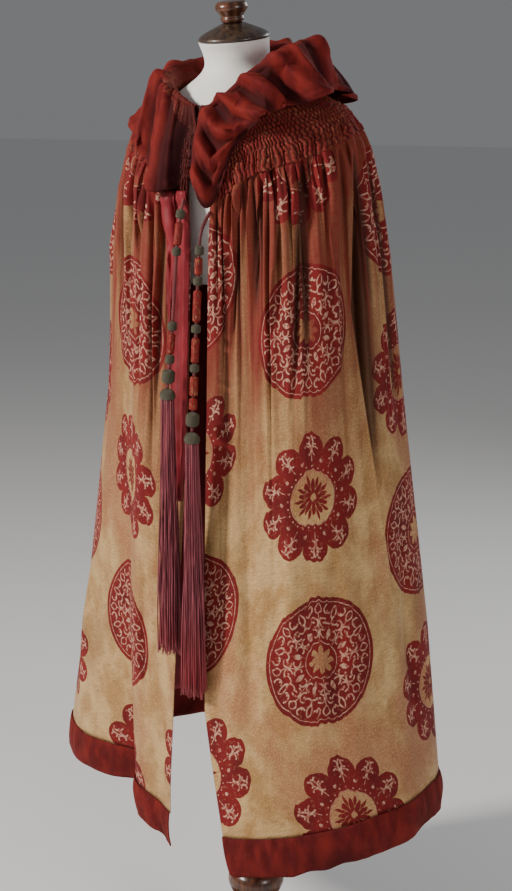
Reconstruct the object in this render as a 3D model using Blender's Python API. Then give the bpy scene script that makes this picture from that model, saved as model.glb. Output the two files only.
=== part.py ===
"""Opera cape on a dress form: a long gathered evening cape with a shirred yoke,
a rolled velvet collar, a velvet hem band and two knotted tie cords with tassels.

Metres, +Z up. The floor is z = 0 and the stand's pole is the Z axis. The front
faces -Y, so the wearer's left is +X. Angles round the body are in degrees from
the front, positive towards the wearer's left. Heights in the tables are for the
pole at its lowest; all that rides on it is then raised by POLE_DRAWN.
"""

import math

import bmesh
import bpy
from mathutils import Vector

# Cloth
WALL = 0.0016
VELVET = 0.0030
SEAM = 0.0003
GATHERS = 102
BODY_ROWS = 8
BAND_DEPTH = 0.062
BAND_ROLL = 0.0045
COLLAR_STATIONS = 52
COLLAR_CLEARANCE = 0.0090
FACING_COLUMNS = 5
FACING_ROWS = 4

# Ties
CORD_RADIUS = 0.0030
TASSEL_LENGTH = 0.450
STRAND = 0.0024

# Stand
POLE_RADIUS = 0.016
BASE_RADIUS = 0.190
POLE_TOP = 1.1497
POLE_DRAWN = 0.115  # how far the pole is drawn out: the form and the cape ride up on it

# Plain cape, a ring at each height: half widths to the wearer's right and left,
# depths to the front on either side and to the back.
CAPE = (
    # height, side_right, side_left, front_right, front_left, back, centre_y
    (1.500, 0.058, 0.058, 0.058, 0.058, 0.056, -0.047),
    (1.478, 0.082, 0.082, 0.076, 0.076, 0.068, -0.043),
    (1.455, 0.124, 0.134, 0.096, 0.096, 0.088, -0.038),
    (1.430, 0.162, 0.180, 0.112, 0.112, 0.106, -0.034),
    (1.400, 0.194, 0.202, 0.124, 0.124, 0.120, -0.030),
    (1.370, 0.217, 0.211, 0.134, 0.134, 0.132, -0.026),
    (1.300, 0.245, 0.223, 0.146, 0.148, 0.150, -0.020),
    (1.200, 0.266, 0.236, 0.154, 0.158, 0.166, -0.016),
    (0.940, 0.281, 0.260, 0.172, 0.174, 0.198, -0.008),
    (0.580, 0.337, 0.302, 0.195, 0.204, 0.236, 0.000),
    (0.190, 0.402, 0.342, 0.190, 0.260, 0.276, 0.000),
)

# The four lengths of cloth, as shares of the way round from the left edge.
PANELS = (
    # name, start, end, columns
    ("front_left", 0.000, 0.235, 16),
    ("back_left", 0.235, 0.500, 15),
    ("back_right", 0.500, 0.765, 15),
    ("front_right", 0.765, 1.000, 16),
)

# Angle of each front edge at each height.
FRONT_EDGES = (
    # height, right, left
    (1.440, -9.0, 9.0),
    (1.300, -7.0, 9.0),
    (1.200, -4.5, 8.0),
    (0.900, -5.0, 7.5),
    (0.600, -8.0, 8.0),
    (0.450, -9.5, 10.0),
    (0.300, -11.0, 18.0),
    (0.190, -10.0, 23.5),
)

# Height of the neck seam, of the yoke's lower edge and of the hem, by angle.
LEVELS = (
    # angle, neck_seam, yoke_edge, hem
    (-180, 1.476, 1.405, 0.244),
    (-120, 1.474, 1.400, 0.244),
    (-90, 1.470, 1.382, 0.242),
    (-60, 1.458, 1.360, 0.236),
    (-35, 1.440, 1.335, 0.216),
    (-12, 1.420, 1.290, 0.192),
    (0, 1.414, 1.280, 0.188),
    (12, 1.420, 1.288, 0.190),
    (35, 1.440, 1.331, 0.204),
    (60, 1.458, 1.355, 0.226),
    (90, 1.470, 1.395, 0.242),
    (120, 1.474, 1.408, 0.244),
    (180, 1.476, 1.405, 0.244),
)

# The largest folds: where each lies and how far it stands out at four heights.
FOLDS = (
    # angle, width, top, middle, low, hem
    (-20, 6, -0.012, -0.012, -0.006, -0.004),
    (-33, 7, 0.008, 0.010, 0.006, 0.002),
    (-56, 11, -0.006, -0.010, -0.048, -0.100),
    (-88, 8, 0.006, 0.010, 0.014, 0.016),
    (-112, 8, -0.010, -0.018, -0.022, -0.020),
    (-132, 9, 0.010, 0.014, 0.018, 0.016),
    (-152, 8, -0.012, -0.020, -0.024, -0.020),
    (-170, 8, 0.008, 0.012, 0.014, 0.012),
    (170, 8, -0.010, -0.018, -0.020, -0.018),
    (150, 9, 0.010, 0.014, 0.016, 0.014),
    (128, 8, -0.012, -0.020, -0.024, -0.022),
    (104, 8, 0.008, 0.010, 0.010, 0.008),
    (74, 6, -0.017, -0.016, -0.007, -0.003),
    (52, 10, 0.008, 0.008, 0.003, 0.000),
    (31, 5, -0.010, -0.006, -0.002, 0.000),
    (18, 4, -0.009, -0.005, -0.002, 0.000),
)
FOLD_HEIGHTS = (1.34, 1.20, 0.94, 0.58, 0.22)

# Collar, from the tab on the wearer's right round the neck to the left tab.
# Each station is a section: a stand up from the seam, a roll, and a fall.
COLLAR = (
    # angle, rise, reach, fall_out, fall_down
    (-5, 0.008, 0.012, 0.026, 0.088),
    (-10, 0.010, 0.014, 0.030, 0.118),
    (-24, 0.014, 0.020, 0.046, 0.145),
    (-37, 0.018, 0.024, 0.054, 0.142),
    (-46, 0.020, 0.026, 0.056, 0.108),
    (-60, 0.021, 0.026, 0.056, 0.098),
    (-75, 0.022, 0.026, 0.056, 0.090),
    (-110, 0.032, 0.030, 0.058, 0.072),
    (-150, 0.044, 0.036, 0.064, 0.068),
    (180, 0.056, 0.042, 0.072, 0.078),
    (150, 0.064, 0.044, 0.090, 0.092),
    (130, 0.066, 0.046, 0.106, 0.094),
    (110, 0.068, 0.048, 0.082, 0.074),
    (90, 0.066, 0.046, 0.074, 0.070),
    (75, 0.062, 0.044, 0.070, 0.068),
    (60, 0.052, 0.040, 0.062, 0.066),
    (45, 0.041, 0.034, 0.050, 0.064),
    (35, 0.032, 0.028, 0.042, 0.068),
    (28, 0.024, 0.024, 0.038, 0.086),
    (20, 0.016, 0.020, 0.038, 0.124),
    (11, 0.010, 0.014, 0.036, 0.148),
    (0, 0.009, 0.012, 0.028, 0.092),
)

# Dress form, a ring at each height.
FORM = (
    # height, side, front, back, centre_y
    (1.540, 0.0570, 0.0590, 0.0550, -0.064),
    (1.517, 0.0535, 0.0555, 0.0520, -0.057),
    (1.495, 0.0530, 0.0540, 0.0510, -0.049),
    (1.478, 0.0760, 0.0710, 0.0630, -0.043),
    (1.455, 0.1185, 0.0910, 0.0830, -0.038),
    (1.430, 0.1570, 0.1070, 0.1010, -0.034),
    (1.400, 0.1860, 0.1180, 0.1140, -0.030),
    (1.370, 0.1960, 0.1240, 0.1200, -0.026),
    (1.320, 0.1950, 0.1310, 0.1240, -0.020),
    (1.240, 0.1860, 0.1340, 0.1220, -0.013),
    (1.170, 0.1700, 0.1240, 0.1160, -0.008),
    (1.150, 0.1600, 0.1140, 0.1060, -0.008),
)

# Knots and padded lengths on the ties, each threaded on its cord.
RIGHT_BEADS = (
    # name, height, half_length, radius
    ("knot_right_1", 1.268, 0.0080, 0.0078),
    ("pad_right_1", 1.238, 0.0190, 0.0068),
    ("knot_right_2", 1.210, 0.0075, 0.0076),
    ("knot_right_3", 1.092, 0.0080, 0.0078),
    ("pad_right_2", 1.064, 0.0170, 0.0066),
    ("knot_right_4", 1.038, 0.0080, 0.0078),
    ("knot_right_5", 1.010, 0.0120, 0.0110),
)
LEFT_BEADS = (
    ("knot_left_1", 1.214, 0.0080, 0.0078),
    ("pad_left_1", 1.190, 0.0140, 0.0066),
    ("knot_left_2", 1.167, 0.0075, 0.0076),
    ("pad_left_2", 1.127, 0.0260, 0.0068),
    ("knot_left_3", 1.092, 0.0075, 0.0080),
    ("pad_left_3", 1.058, 0.0210, 0.0066),
    ("knot_left_4", 1.028, 0.0075, 0.0078),
    ("pad_left_4", 1.000, 0.0165, 0.0072),
    ("pad_left_5", 0.971, 0.0100, 0.0070),
    ("knot_left_5", 0.946, 0.0125, 0.0112),
)

# Routes of the two ties below their start on the cape, down to the tassel.
TIE_STARTS = (
    # name, angle, height
    ("right", -9.0, 1.297),
    ("left", 9.6, 1.272),
)
RIGHT_ROUTE = (
    # x, y, z
    (-0.0215, -0.1865, 1.268),
    (-0.0220, -0.1930, 1.235),
    (-0.0225, -0.1985, 1.200),
    (-0.0250, -0.2075, 1.090),
    (-0.0290, -0.2170, 0.992),
)
LEFT_ROUTE = (
    (0.0260, -0.1970, 1.244),
    (0.0250, -0.2030, 1.205),
    (0.0240, -0.2110, 1.092),
    (0.0230, -0.2230, 0.927),
)


def ease(t):
    t = min(1.0, max(0.0, t))
    return t * t * (3.0 - 2.0 * t)


def read_row(table, key):
    """A table's other columns at a key, eased between its rows."""
    rows = sorted(table)
    if key <= rows[0][0]:
        return rows[0][1:]
    for low, high in zip(rows, rows[1:]):
        if key <= high[0]:
            t = (key - low[0]) / (high[0] - low[0])
            return tuple(a + (b - a) * t for a, b in zip(low[1:], high[1:]))
    return rows[-1][1:]


def ring_radius(side, depth, angle):
    """The distance from an oval's centre to its edge at an angle from the front."""
    turn = math.radians(angle)
    return 1.0 / math.hypot(math.sin(turn) / side, math.cos(turn) / depth)


def wrapped(angle):
    return (angle + 180.0) % 360.0 - 180.0


def fold_depth(angle, height):
    """How far the large folds move the cloth out at a place."""
    depth = 0.0
    for fold_angle, width, top, middle, low, hem in FOLDS:
        off = wrapped(angle - fold_angle) / width
        if abs(off) < 3.0:
            table = tuple(zip(FOLD_HEIGHTS, (0.0, top, middle, low, hem)))
            depth += read_row(table, height)[0] * math.exp(-off * off)
    return depth


def gather_depth(angle, height, waves, reach, size):
    """Narrow gathers that run down from the yoke and die out."""
    start = read_row(LEVELS, wrapped(angle))[1]
    fade = 1.0 - ease((start - height) / reach)
    return size * fade * math.cos(math.radians(angle) * waves)


def cape_point(angle, height, folds=1.0):
    """A point on the cape's inner face."""
    side_right, side_left, front_right, front_left, back, centre = read_row(CAPE, height)
    angle_now = wrapped(angle)
    blend = ease((angle_now + 40.0) / 80.0)
    if abs(angle_now) > 90.0:
        blend = ease((220.0 - angle % 360.0) / 80.0)
    side = side_right + (side_left - side_right) * blend
    front = front_right + (front_left - front_right) * blend
    depth = back + (front - back) * ease((100.0 - abs(angle_now)) / 20.0)
    radius = ring_radius(side, depth, angle_now)
    radius += folds * fold_depth(angle_now, height)
    if folds:
        left, right = edge_angles(height)
        from_edge = min(abs(wrapped(angle - left)), abs(wrapped(angle - right)))
        calm = ease((from_edge - 5.0) / 12.0)
        radius += calm * gather_depth(angle, height, GATHERS / 2, 0.26, 0.0026)
        radius += calm * gather_depth(angle, height, GATHERS / 4, 0.42, 0.0020)
    turn = math.radians(angle)
    return Vector(
        (radius * math.sin(turn), centre - radius * math.cos(turn), height)
    )


def cape_normal(angle, height, folds=1.0):
    """The outward direction of the cape's face."""
    across = cape_point(angle + 0.4, height, folds) - cape_point(angle - 0.4, height, folds)
    up = cape_point(angle, height + 0.003, folds) - cape_point(angle, height - 0.003, folds)
    return across.cross(up).normalized()


def edge_angles(height):
    right, left = read_row(FRONT_EDGES, height)
    return left, 360.0 + right


def around(share, height):
    """The angle at a share of the way round from the left edge to the right."""
    left, right = edge_angles(height)
    return left + (right - left) * share


def material(name, colour, roughness, metallic=0.0):
    made = bpy.data.materials.new(name)
    made.use_nodes = True
    shader = made.node_tree.nodes["Principled BSDF"]
    shader.inputs["Base Color"].default_value = (*colour, 1.0)
    shader.inputs["Roughness"].default_value = roughness
    shader.inputs["Metallic"].default_value = metallic
    made.diffuse_color = (*colour, 1.0)
    return made


def add_object(name, mesh, paint, parent=None):
    made = bpy.data.objects.new(name, mesh)
    bpy.context.scene.collection.objects.link(made)
    made.data.materials.append(paint)
    made.parent = parent
    return made


def finish_mesh(name, model, paint, parent=None, smooth=True):
    bmesh.ops.recalc_face_normals(model, faces=model.faces)
    mesh = bpy.data.meshes.new(name)
    model.to_mesh(mesh)
    model.free()
    if smooth:
        mesh.shade_smooth()
        mesh.set_sharp_from_angle(angle=math.radians(50))
    return add_object(name, mesh, paint, parent)


def closed_wall(name, outer, inner, paint, parent=None):
    """A wall between two faces, given as rows of points with as many columns each.

    The two faces may have different numbers of rows: both have the same first
    row, last row and side edges, and each side edge is filled as one face.
    """
    model = bmesh.new()
    faces = []
    for rows in (outer, inner):
        faces.append([[model.verts.new(point) for point in row] for row in rows])
    for rows, flip in zip(faces, (False, True)):
        for above, below in zip(rows, rows[1:]):
            for k in range(len(above) - 1):
                quad = (above[k], above[k + 1], below[k + 1], below[k])
                model.faces.new(reversed(quad) if flip else quad)
    out, back = faces
    for one, two in ((out[0], back[0]), (back[-1], out[-1])):
        for k in range(len(one) - 1):
            model.faces.new((one[k + 1], one[k], two[k], two[k + 1]))
    for k, flip in ((0, False), (-1, True)):
        if len(out) == len(back):
            rims = [
                (out[j][k], out[j + 1][k], back[j + 1][k], back[j][k])
                for j in range(len(out) - 1)
            ]
        else:
            rims = [[row[k] for row in out] + [row[k] for row in reversed(back)]]
        for rim in rims:
            model.faces.new(reversed(rim) if flip else rim)
    return finish_mesh(name, model, paint, parent)


def columns_of(start, end, number):
    """Shares for one panel's columns, kept a seam's width inside its ends."""
    trim = 0.75 * SEAM / 1.2
    low = start + (trim if start > 0.0 else 0.0)
    high = end - (trim if end < 1.0 else 0.0)
    return [low + (high - low) * k / number for k in range(number + 1)]


def body_rows(start, end, columns):
    """A panel's rows of points, from the yoke to the hem band, with their normals."""
    shares = columns_of(start, end, 2 * columns)
    rows = []
    for row in range(BODY_ROWS + 1):
        down = (row / BODY_ROWS) ** 1.25
        line = []
        for share in shares:
            _, yoke, hem = read_row(LEVELS, wrapped(around(share, 0.8)))
            high = yoke - 2.0 * SEAM
            low = hem + BAND_DEPTH + SEAM
            height = high + (low - high) * down
            angle = around(share, height)
            line.append((cape_point(angle, height), cape_normal(angle, height)))
        rows.append(line)
    return rows


def build_body(paint, parent):
    for name, start, end, columns in PANELS:
        rows = body_rows(start, end, columns)
        outer = [[point + normal * WALL for point, normal in row] for row in rows]
        inner = [[point for point, normal in row] for row in rows]
        closed_wall("body_" + name, outer, inner, paint, parent)


def build_bands(paint, parent):
    """The velvet band that finishes the hem, rolled a little over its edge."""
    for name, start, end, columns in PANELS:
        shares = columns_of(start, end, columns)
        outer, inner = [], []
        for down, swell in ((0.0, 0.35), (0.35, 1.0), (0.88, 0.9), (1.0, 0.1)):
            row = []
            for share in shares:
                hem = read_row(LEVELS, wrapped(around(share, 0.8)))[2]
                height = hem + (BAND_DEPTH - SEAM) * (1.0 - down)
                angle = around(share, height)
                normal = cape_normal(angle, height)
                row.append(cape_point(angle, height) + normal * (WALL + BAND_ROLL * swell))
            outer.append(row)
        for down, swell in ((0.0, 0.0), (1.0, 0.0)):
            row = []
            for share in shares:
                hem = read_row(LEVELS, wrapped(around(share, 0.8)))[2]
                height = hem + (BAND_DEPTH - SEAM) * (1.0 - down)
                angle = around(share, height)
                row.append(cape_point(angle, height))
            inner.append(row)
        closed_wall("hem_band_" + name, outer, inner, paint, parent)


def build_yoke(paint, parent):
    """Rows of shirring: the gathers stand up from a plain inner face."""
    for name, start, end, columns in PANELS:
        shares = columns_of(start, end, 3 * columns)
        outer, inner = [], []
        steps = ((0.0, 0.0006), (0.30, 0.0024), (0.65, 0.0020), (1.0, 0.0030))
        for row, (down, size) in enumerate(steps):
            line = []
            for k, share in enumerate(shares):
                point, normal = yoke_place(share, down)
                ridge = (k + row) % 2
                line.append(point + normal * (WALL + size * ridge))
            outer.append(line)
        for down, size in steps:
            inner.append([yoke_place(share, down)[0] for share in shares])
        closed_wall("yoke_" + name, outer, inner, paint, parent)


def yoke_place(share, down):
    guess = around(share, 0.8)
    neck, edge, _ = read_row(LEVELS, wrapped(guess))
    high = neck
    low = edge + SEAM
    height = high + (low - high) * down
    angle = around(share, height)
    return cape_point(angle, height, 0.0), cape_normal(angle, height, 0.0)


def collar_section(angle, rise, reach, fall_out, fall_down):
    """Points from the seam up over the roll and down to the collar's edge."""
    share_height = read_row(LEVELS, angle)[0]
    seam = cape_point(angle, share_height, 0.0)
    turn = math.radians(angle)
    out = Vector((math.sin(turn), -math.cos(turn), 0.0))
    wave = 0.006 * math.sin(math.radians(angle) * 11.0) + 0.004 * math.sin(
        math.radians(angle) * 17.0 + 1.0
    )
    places = (
        (0.000, 0.0022),
        (-0.004, 0.45 * rise),
        (0.000, 0.85 * rise),
        (0.28 * reach, rise + 0.009),
        (0.66 * reach, rise + 0.011),
        (reach, rise + 0.002),
        (reach + 0.35 * (fall_out - reach) + wave, rise - 0.30 * fall_down),
        (reach + 0.75 * (fall_out - reach) + wave * 1.6, rise - 0.68 * fall_down),
        (fall_out + wave * 2.0, rise - fall_down),
    )
    line = [seam + out * r + Vector((0, 0, z)) for r, z in places]
    return line[:5] + [clear_of_cape(point) for point in line[5:]]


def clear_of_cape(point):
    """The point, moved out where it would lie in the shirring or the body."""
    centre = read_row(CAPE, point.z)[5]
    angle = math.degrees(math.atan2(point.x, centre - point.y))
    middle = Vector((0.0, centre, point.z))
    now = (point - middle).length
    needed = max((cape_point(angle, point.z, f) - middle).length for f in (0.0, 1.0))
    needed += COLLAR_CLEARANCE
    return middle + (point - middle) * (max(now, needed) / now)


def build_collar(paint, parent):
    """The velvet collar: one soft wall, rolled over all round the neck."""
    rows = [((a + 360.0) if a < 0 else float(a), *rest) for a, *rest in COLLAR]
    lines = []
    for k in range(COLLAR_STATIONS + 1):
        angle = COLLAR[-1][0] + (360.0 + COLLAR[0][0] - COLLAR[-1][0]) * k / COLLAR_STATIONS
        values = read_row(rows, angle)
        lines.append(collar_section(wrapped(angle), *values))
    outer, inner = [], []
    for k, line in enumerate(lines):
        before, after = lines[max(0, k - 1)], lines[min(COLLAR_STATIONS, k + 1)]
        faces = ([], [])
        for j, point in enumerate(line):
            along = after[j] - before[j]
            down = line[min(len(line) - 1, j + 1)] - line[max(0, j - 1)]
            normal = down.cross(along).normalized()
            faces[0].append(point + normal * (0.5 * VELVET))
            faces[1].append(point - normal * (0.5 * VELVET))
        outer.append(faces[0])
        inner.append(faces[1])
    closed_wall("collar", outer, inner, paint, parent)


def build_facing(paint, parent):
    """The silk facing, turned out along the wearer's right front edge."""
    rows = body_rows(*PANELS[-1][1:])
    outer, inner = [], []
    lowered = [a[0].lerp(b[0], 0.05) for a, b in zip(rows[0], rows[1])]
    rows[0] = [(point, normal) for point, (_, normal) in zip(lowered, rows[0])]
    for k, row in enumerate(rows[: FACING_ROWS + 1]):
        reach = 1.0 - 0.62 * k / FACING_ROWS
        outside, inside = [], []
        for j in range(FACING_COLUMNS + 1):
            place = j * reach
            near = row[-1 - int(place)]
            far = row[-2 - int(place)]
            point, normal = (a.lerp(b, place % 1.0) for a, b in zip(near, far))
            lift = WALL + (2.0 if j == 0 else 4.5) * SEAM
            inside.append(point + normal * lift)
            outside.append(point + normal * (lift + WALL))
        inner.append(inside)
        outer.append(outside)
    closed_wall("facing_right", outer, inner, paint, parent)


def spread_route(route, count):
    """Evenly spaced points on a smooth curve through a route's points."""
    points = [Vector(p) for p in route]
    ends = [points[0] * 2 - points[1]] + points + [points[-1] * 2 - points[-2]]
    fine = []
    for k in range(1, len(ends) - 2):
        a, b, c, d = ends[k - 1 : k + 3]
        for step in range(24):
            t = step / 24
            fine.append(
                0.5
                * (
                    2 * b
                    + (c - a) * t
                    + (2 * a - 5 * b + 4 * c - d) * t * t
                    + (3 * b - 3 * c + d - a) * t * t * t
                )
            )
    fine.append(points[-1])
    lengths = [0.0]
    for one, two in zip(fine, fine[1:]):
        lengths.append(lengths[-1] + (two - one).length)
    spaced = []
    for k in range(count + 1):
        target = lengths[-1] * k / count
        j = max(1, next((i for i, l in enumerate(lengths) if l >= target), len(fine) - 1))
        t = (target - lengths[j - 1]) / max(1e-9, lengths[j] - lengths[j - 1])
        spaced.append(fine[j - 1].lerp(fine[j], t))
    return spaced


def tie_start(side):
    """Where a tie is sewn on, lying on the shirring beside the front edge."""
    angle, height = next(row[1:] for row in TIE_STARTS if row[0] == side)
    folds = 0.0 if side == "right" else 1.0
    lift = WALL + CORD_RADIUS + SEAM + (0.0009 if side == "right" else -0.0005)
    return cape_point(angle, height, folds) + cape_normal(angle, height, folds) * lift


def build_cord(name, route, paint, parent):
    points = spread_route(route, 22)
    curve = bpy.data.curves.new(name, "CURVE")
    curve.dimensions = "3D"
    curve.bevel_depth = CORD_RADIUS
    curve.bevel_resolution = 2
    curve.use_fill_caps = True
    spline = curve.splines.new("POLY")
    spline.points.add(len(points) - 1)
    for place, point in zip(spline.points, points):
        place.co = (*point, 1.0)
    add_object(name, curve, paint, parent)
    return points


def place_on(points, height):
    """The place and direction of a cord where it passes a height."""
    for one, two in zip(points, points[1:]):
        if one.z >= height >= two.z:
            t = (one.z - height) / (one.z - two.z)
            return one.lerp(two, t), (two - one).normalized()
    return points[-1].copy(), (points[-1] - points[-2]).normalized()


def build_bead(name, place, direction, half, radius, paint, parent):
    """A wrapped knot or padded length, bored for its cord."""
    bore = CORD_RADIUS + 0.0008
    profile = (
        (bore, -half),
        (0.72 * radius, -half),
        (radius, -0.42 * half),
        (radius, 0.42 * half),
        (0.72 * radius, half),
        (bore, half),
    )
    model = bmesh.new()
    loop = [model.verts.new((r, 0.0, z)) for r, z in profile]
    edges = [model.edges.new((loop[k], loop[(k + 1) % len(loop)])) for k in range(len(loop))]
    bmesh.ops.spin(
        model,
        geom=loop + edges,
        axis=(0, 0, 1),
        angle=2 * math.pi,
        steps=8,
        use_merge=True,
    )
    made = finish_mesh(name, model, paint, parent)
    made.location = place
    made.rotation_mode = "QUATERNION"
    made.rotation_quaternion = direction.to_track_quat("Z", "Y")
    return made


def build_tassel(name, top, paint, parent):
    """A bound head with long strands, their roots sunk in it."""
    rings = ((0.0095, 13, 0.0), (0.0054, 8, 0.3), (0.0014, 2, 0.0))
    strands = bmesh.new()
    for radius, number, offset in rings:
        for k in range(number):
            turn = 2 * math.pi * k / number + offset
            length = TASSEL_LENGTH * (1.0 - 0.035 * (0.5 + 0.5 * math.sin(7.0 * turn + radius * 900)))
            loops = []
            for step in range(5):
                down = step / 4
                grow = 1.0 + 0.95 * ease(down * 1.1)
                sway = 0.0012 * math.sin(3.0 * down * math.pi + 2.0 * turn) * ease(down * 3)
                x = top.x + radius * grow * math.cos(turn) * 1.12 + sway
                y = top.y + radius * grow * math.sin(turn) * 0.78
                z = top.z - 0.010 - (length - 0.010) * down
                loop = []
                for side in range(4):
                    corner = turn + math.pi / 4 + side * math.pi / 2
                    reach = STRAND * 0.5 * (1.0 - 0.25 * down)
                    loop.append(
                        strands.verts.new(
                            (x + reach * math.cos(corner), y + reach * math.sin(corner), z)
                        )
                    )
                loops.append(loop)
            strands.faces.new(loops[0])
            strands.faces.new(reversed(loops[-1]))
            for above, below in zip(loops, loops[1:]):
                for j in range(4):
                    strands.faces.new((above[j], above[j - 1], below[j - 1], below[j]))
    helper = finish_mesh(name + "_strands", strands, paint, parent, smooth=False)
    helper.hide_render = True
    helper.display_type = "WIRE"
    head = bmesh.new()
    profile = (
        (0.0, 0.0),
        (0.0068, -0.001),
        (0.0112, -0.007),
        (0.0128, -0.016),
        (0.0122, -0.024),
        (0.0, -0.024),
    )
    line = [head.verts.new((r, 0.0, z)) for r, z in profile]
    edges = [head.edges.new((a, b)) for a, b in zip(line, line[1:])]
    bmesh.ops.spin(
        head, geom=line + edges, axis=(0, 0, 1), angle=2 * math.pi, steps=14, use_merge=True
    )
    bmesh.ops.remove_doubles(head, verts=head.verts, dist=1e-5)
    for vert in head.verts:
        vert.co.x *= 1.12
        vert.co.y *= 0.90
        vert.co += top
    made = finish_mesh(name, head, paint, parent)
    union = made.modifiers.new("strands", "BOOLEAN")
    union.operation = "UNION"
    union.object = helper
    return made


def build_form(paint, parent):
    """The dress form's body, from its neck to its hips."""
    model = bmesh.new()
    loops = []
    number = 32
    for height, side, front, back, centre in FORM:
        loop = []
        for k in range(number):
            angle = 360.0 * k / number
            depth = back + (front - back) * ease((100.0 - abs(wrapped(angle))) / 20.0)
            radius = ring_radius(side, depth, angle)
            turn = math.radians(angle)
            tilt = 0.0
            if height > 1.535:
                tilt = 0.16 * radius * math.cos(turn)
            loop.append(
                model.verts.new(
                    (radius * math.sin(turn), centre - radius * math.cos(turn), height - tilt)
                )
            )
        loops.append(loop)
    for above, below in zip(loops, loops[1:]):
        for k in range(number):
            model.faces.new((above[k - 1], above[k], below[k], below[k - 1]))
    model.faces.new(loops[0])
    model.faces.new(reversed(loops[-1]))
    return finish_mesh("dress_form", model, paint, parent)


def build_turned(name, profile, place, paint, parent, segments=32, tilt=0.0):
    """A turned wooden piece from its profile, top to bottom on its outer side."""
    model = bmesh.new()
    line = [model.verts.new((r, 0.0, z)) for r, z in profile]
    for one, two in zip(line, line[1:]):
        model.edges.new((one, two))
    mesh = bpy.data.meshes.new(name)
    model.to_mesh(mesh)
    model.free()
    made = add_object(name, mesh, paint, parent)
    made.location = place
    made.rotation_euler = (tilt, 0.0, 0.0)
    turned = made.modifiers.new("turned", "SCREW")
    turned.steps = segments
    turned.render_steps = segments
    turned.use_merge_vertices = True
    turned.merge_threshold = 0.0001
    turned.use_smooth_shade = True
    return made


NECK_TILT = math.atan(0.16)

# Turned profiles: radius and height, each from its own foot.
CAP_PROFILE = (
    (0.0, 0.026),
    (0.016, 0.026),
    (0.032, 0.019),
    (0.048, 0.012),
    (0.057, 0.006),
    (0.058, 0.002),
    (0.056, 0.0),
    (0.0, 0.0),
)
FINIAL_PROFILE = (
    (0.0, 0.034),
    (0.022, 0.033),
    (0.026, 0.028),
    (0.0265, 0.022),
    (0.022, 0.015),
    (0.0175, 0.010),
    (0.020, 0.006),
    (0.017, 0.0),
    (0.0, 0.0),
)
POLE_PROFILE = (
    (0.0, POLE_TOP + POLE_DRAWN),
    (POLE_RADIUS, POLE_TOP + POLE_DRAWN),
    (POLE_RADIUS, 0.230),
    (0.021, 0.223),
    (0.021, 0.213),
    (0.017, 0.205),
    (0.034, 0.194),
    (0.048, 0.180),
    (0.052, 0.164),
    (0.044, 0.144),
    (0.028, 0.128),
    (0.022, 0.110),
    (0.022, 0.076),
    (0.034, 0.0463),
    (0.0, 0.0463),
)
BASE_PROFILE = (
    (0.0, 0.046),
    (0.060, 0.046),
    (0.100, 0.040),
    (0.150, 0.034),
    (0.178, 0.030),
    (0.188, 0.022),
    (BASE_RADIUS, 0.014),
    (0.186, 0.004),
    (0.182, 0.0),
    (0.0, 0.0),
)


def main():
    for old in list(bpy.data.objects):
        bpy.data.objects.remove(old, do_unlink=True)
    velvet = material("crimson_velvet", (0.26, 0.018, 0.015), 0.85)
    cloth = material("printed_cloth", (0.50, 0.34, 0.17), 0.48, 0.35)
    shirred = material("shirred_cloth", (0.24, 0.055, 0.030), 0.75)
    silk = material("rose_silk", (0.45, 0.05, 0.07), 0.45)
    cord = material("mauve_cord", (0.30, 0.05, 0.06), 0.60)
    thread = material("grey_thread", (0.13, 0.12, 0.07), 0.70)
    pad = material("red_gold_pad", (0.50, 0.04, 0.02), 0.55)
    linen = material("white_linen", (0.90, 0.87, 0.82), 0.80)
    dark_wood = material("dark_wood", (0.030, 0.014, 0.007), 0.40)
    brown_wood = material("brown_wood", (0.20, 0.07, 0.03), 0.28)

    stand = bpy.data.objects.new("stand", None)
    form = bpy.data.objects.new("form", None)
    cape = bpy.data.objects.new("cape", None)
    for empty in (stand, form, cape):
        bpy.context.scene.collection.objects.link(empty)
    for empty in (form, cape):
        empty.location.z = POLE_DRAWN

    build_body(cloth, cape)
    build_bands(velvet, cape)
    build_yoke(shirred, cape)
    build_collar(velvet, cape)
    build_facing(silk, cape)

    ties = (
        ("right", RIGHT_ROUTE, RIGHT_BEADS),
        ("left", LEFT_ROUTE, LEFT_BEADS),
    )
    for side, route, beads in ties:
        points = build_cord("cord_" + side, (tie_start(side), *route), cord, cape)
        for name, height, half, radius in beads:
            place, direction = place_on(points, height)
            paint = thread if name.startswith("knot") else pad
            build_bead(name, place, direction, half, radius, paint, cape)
        top = points[-1] - Vector((0.0, 0.0, SEAM))
        build_tassel("tassel_" + side, top, cord, cape)

    build_form(linen, form)
    top_height, _, _, _, top_centre = FORM[0]
    lean = Vector((0.0, -math.sin(NECK_TILT), math.cos(NECK_TILT)))
    cap_foot = Vector((0.0, top_centre, top_height)) + lean * SEAM
    build_turned("neck_cap", CAP_PROFILE, cap_foot, dark_wood, form, 24, NECK_TILT)
    finial_foot = cap_foot + lean * (0.026 + SEAM)
    build_turned("finial", FINIAL_PROFILE, finial_foot, brown_wood, form, 20, NECK_TILT)
    build_turned("pole", POLE_PROFILE, (0.0, 0.0, 0.0), brown_wood, stand, 20)
    build_turned("base", BASE_PROFILE, (0.0, 0.0, 0.0), brown_wood, stand, 28)


main()
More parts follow.
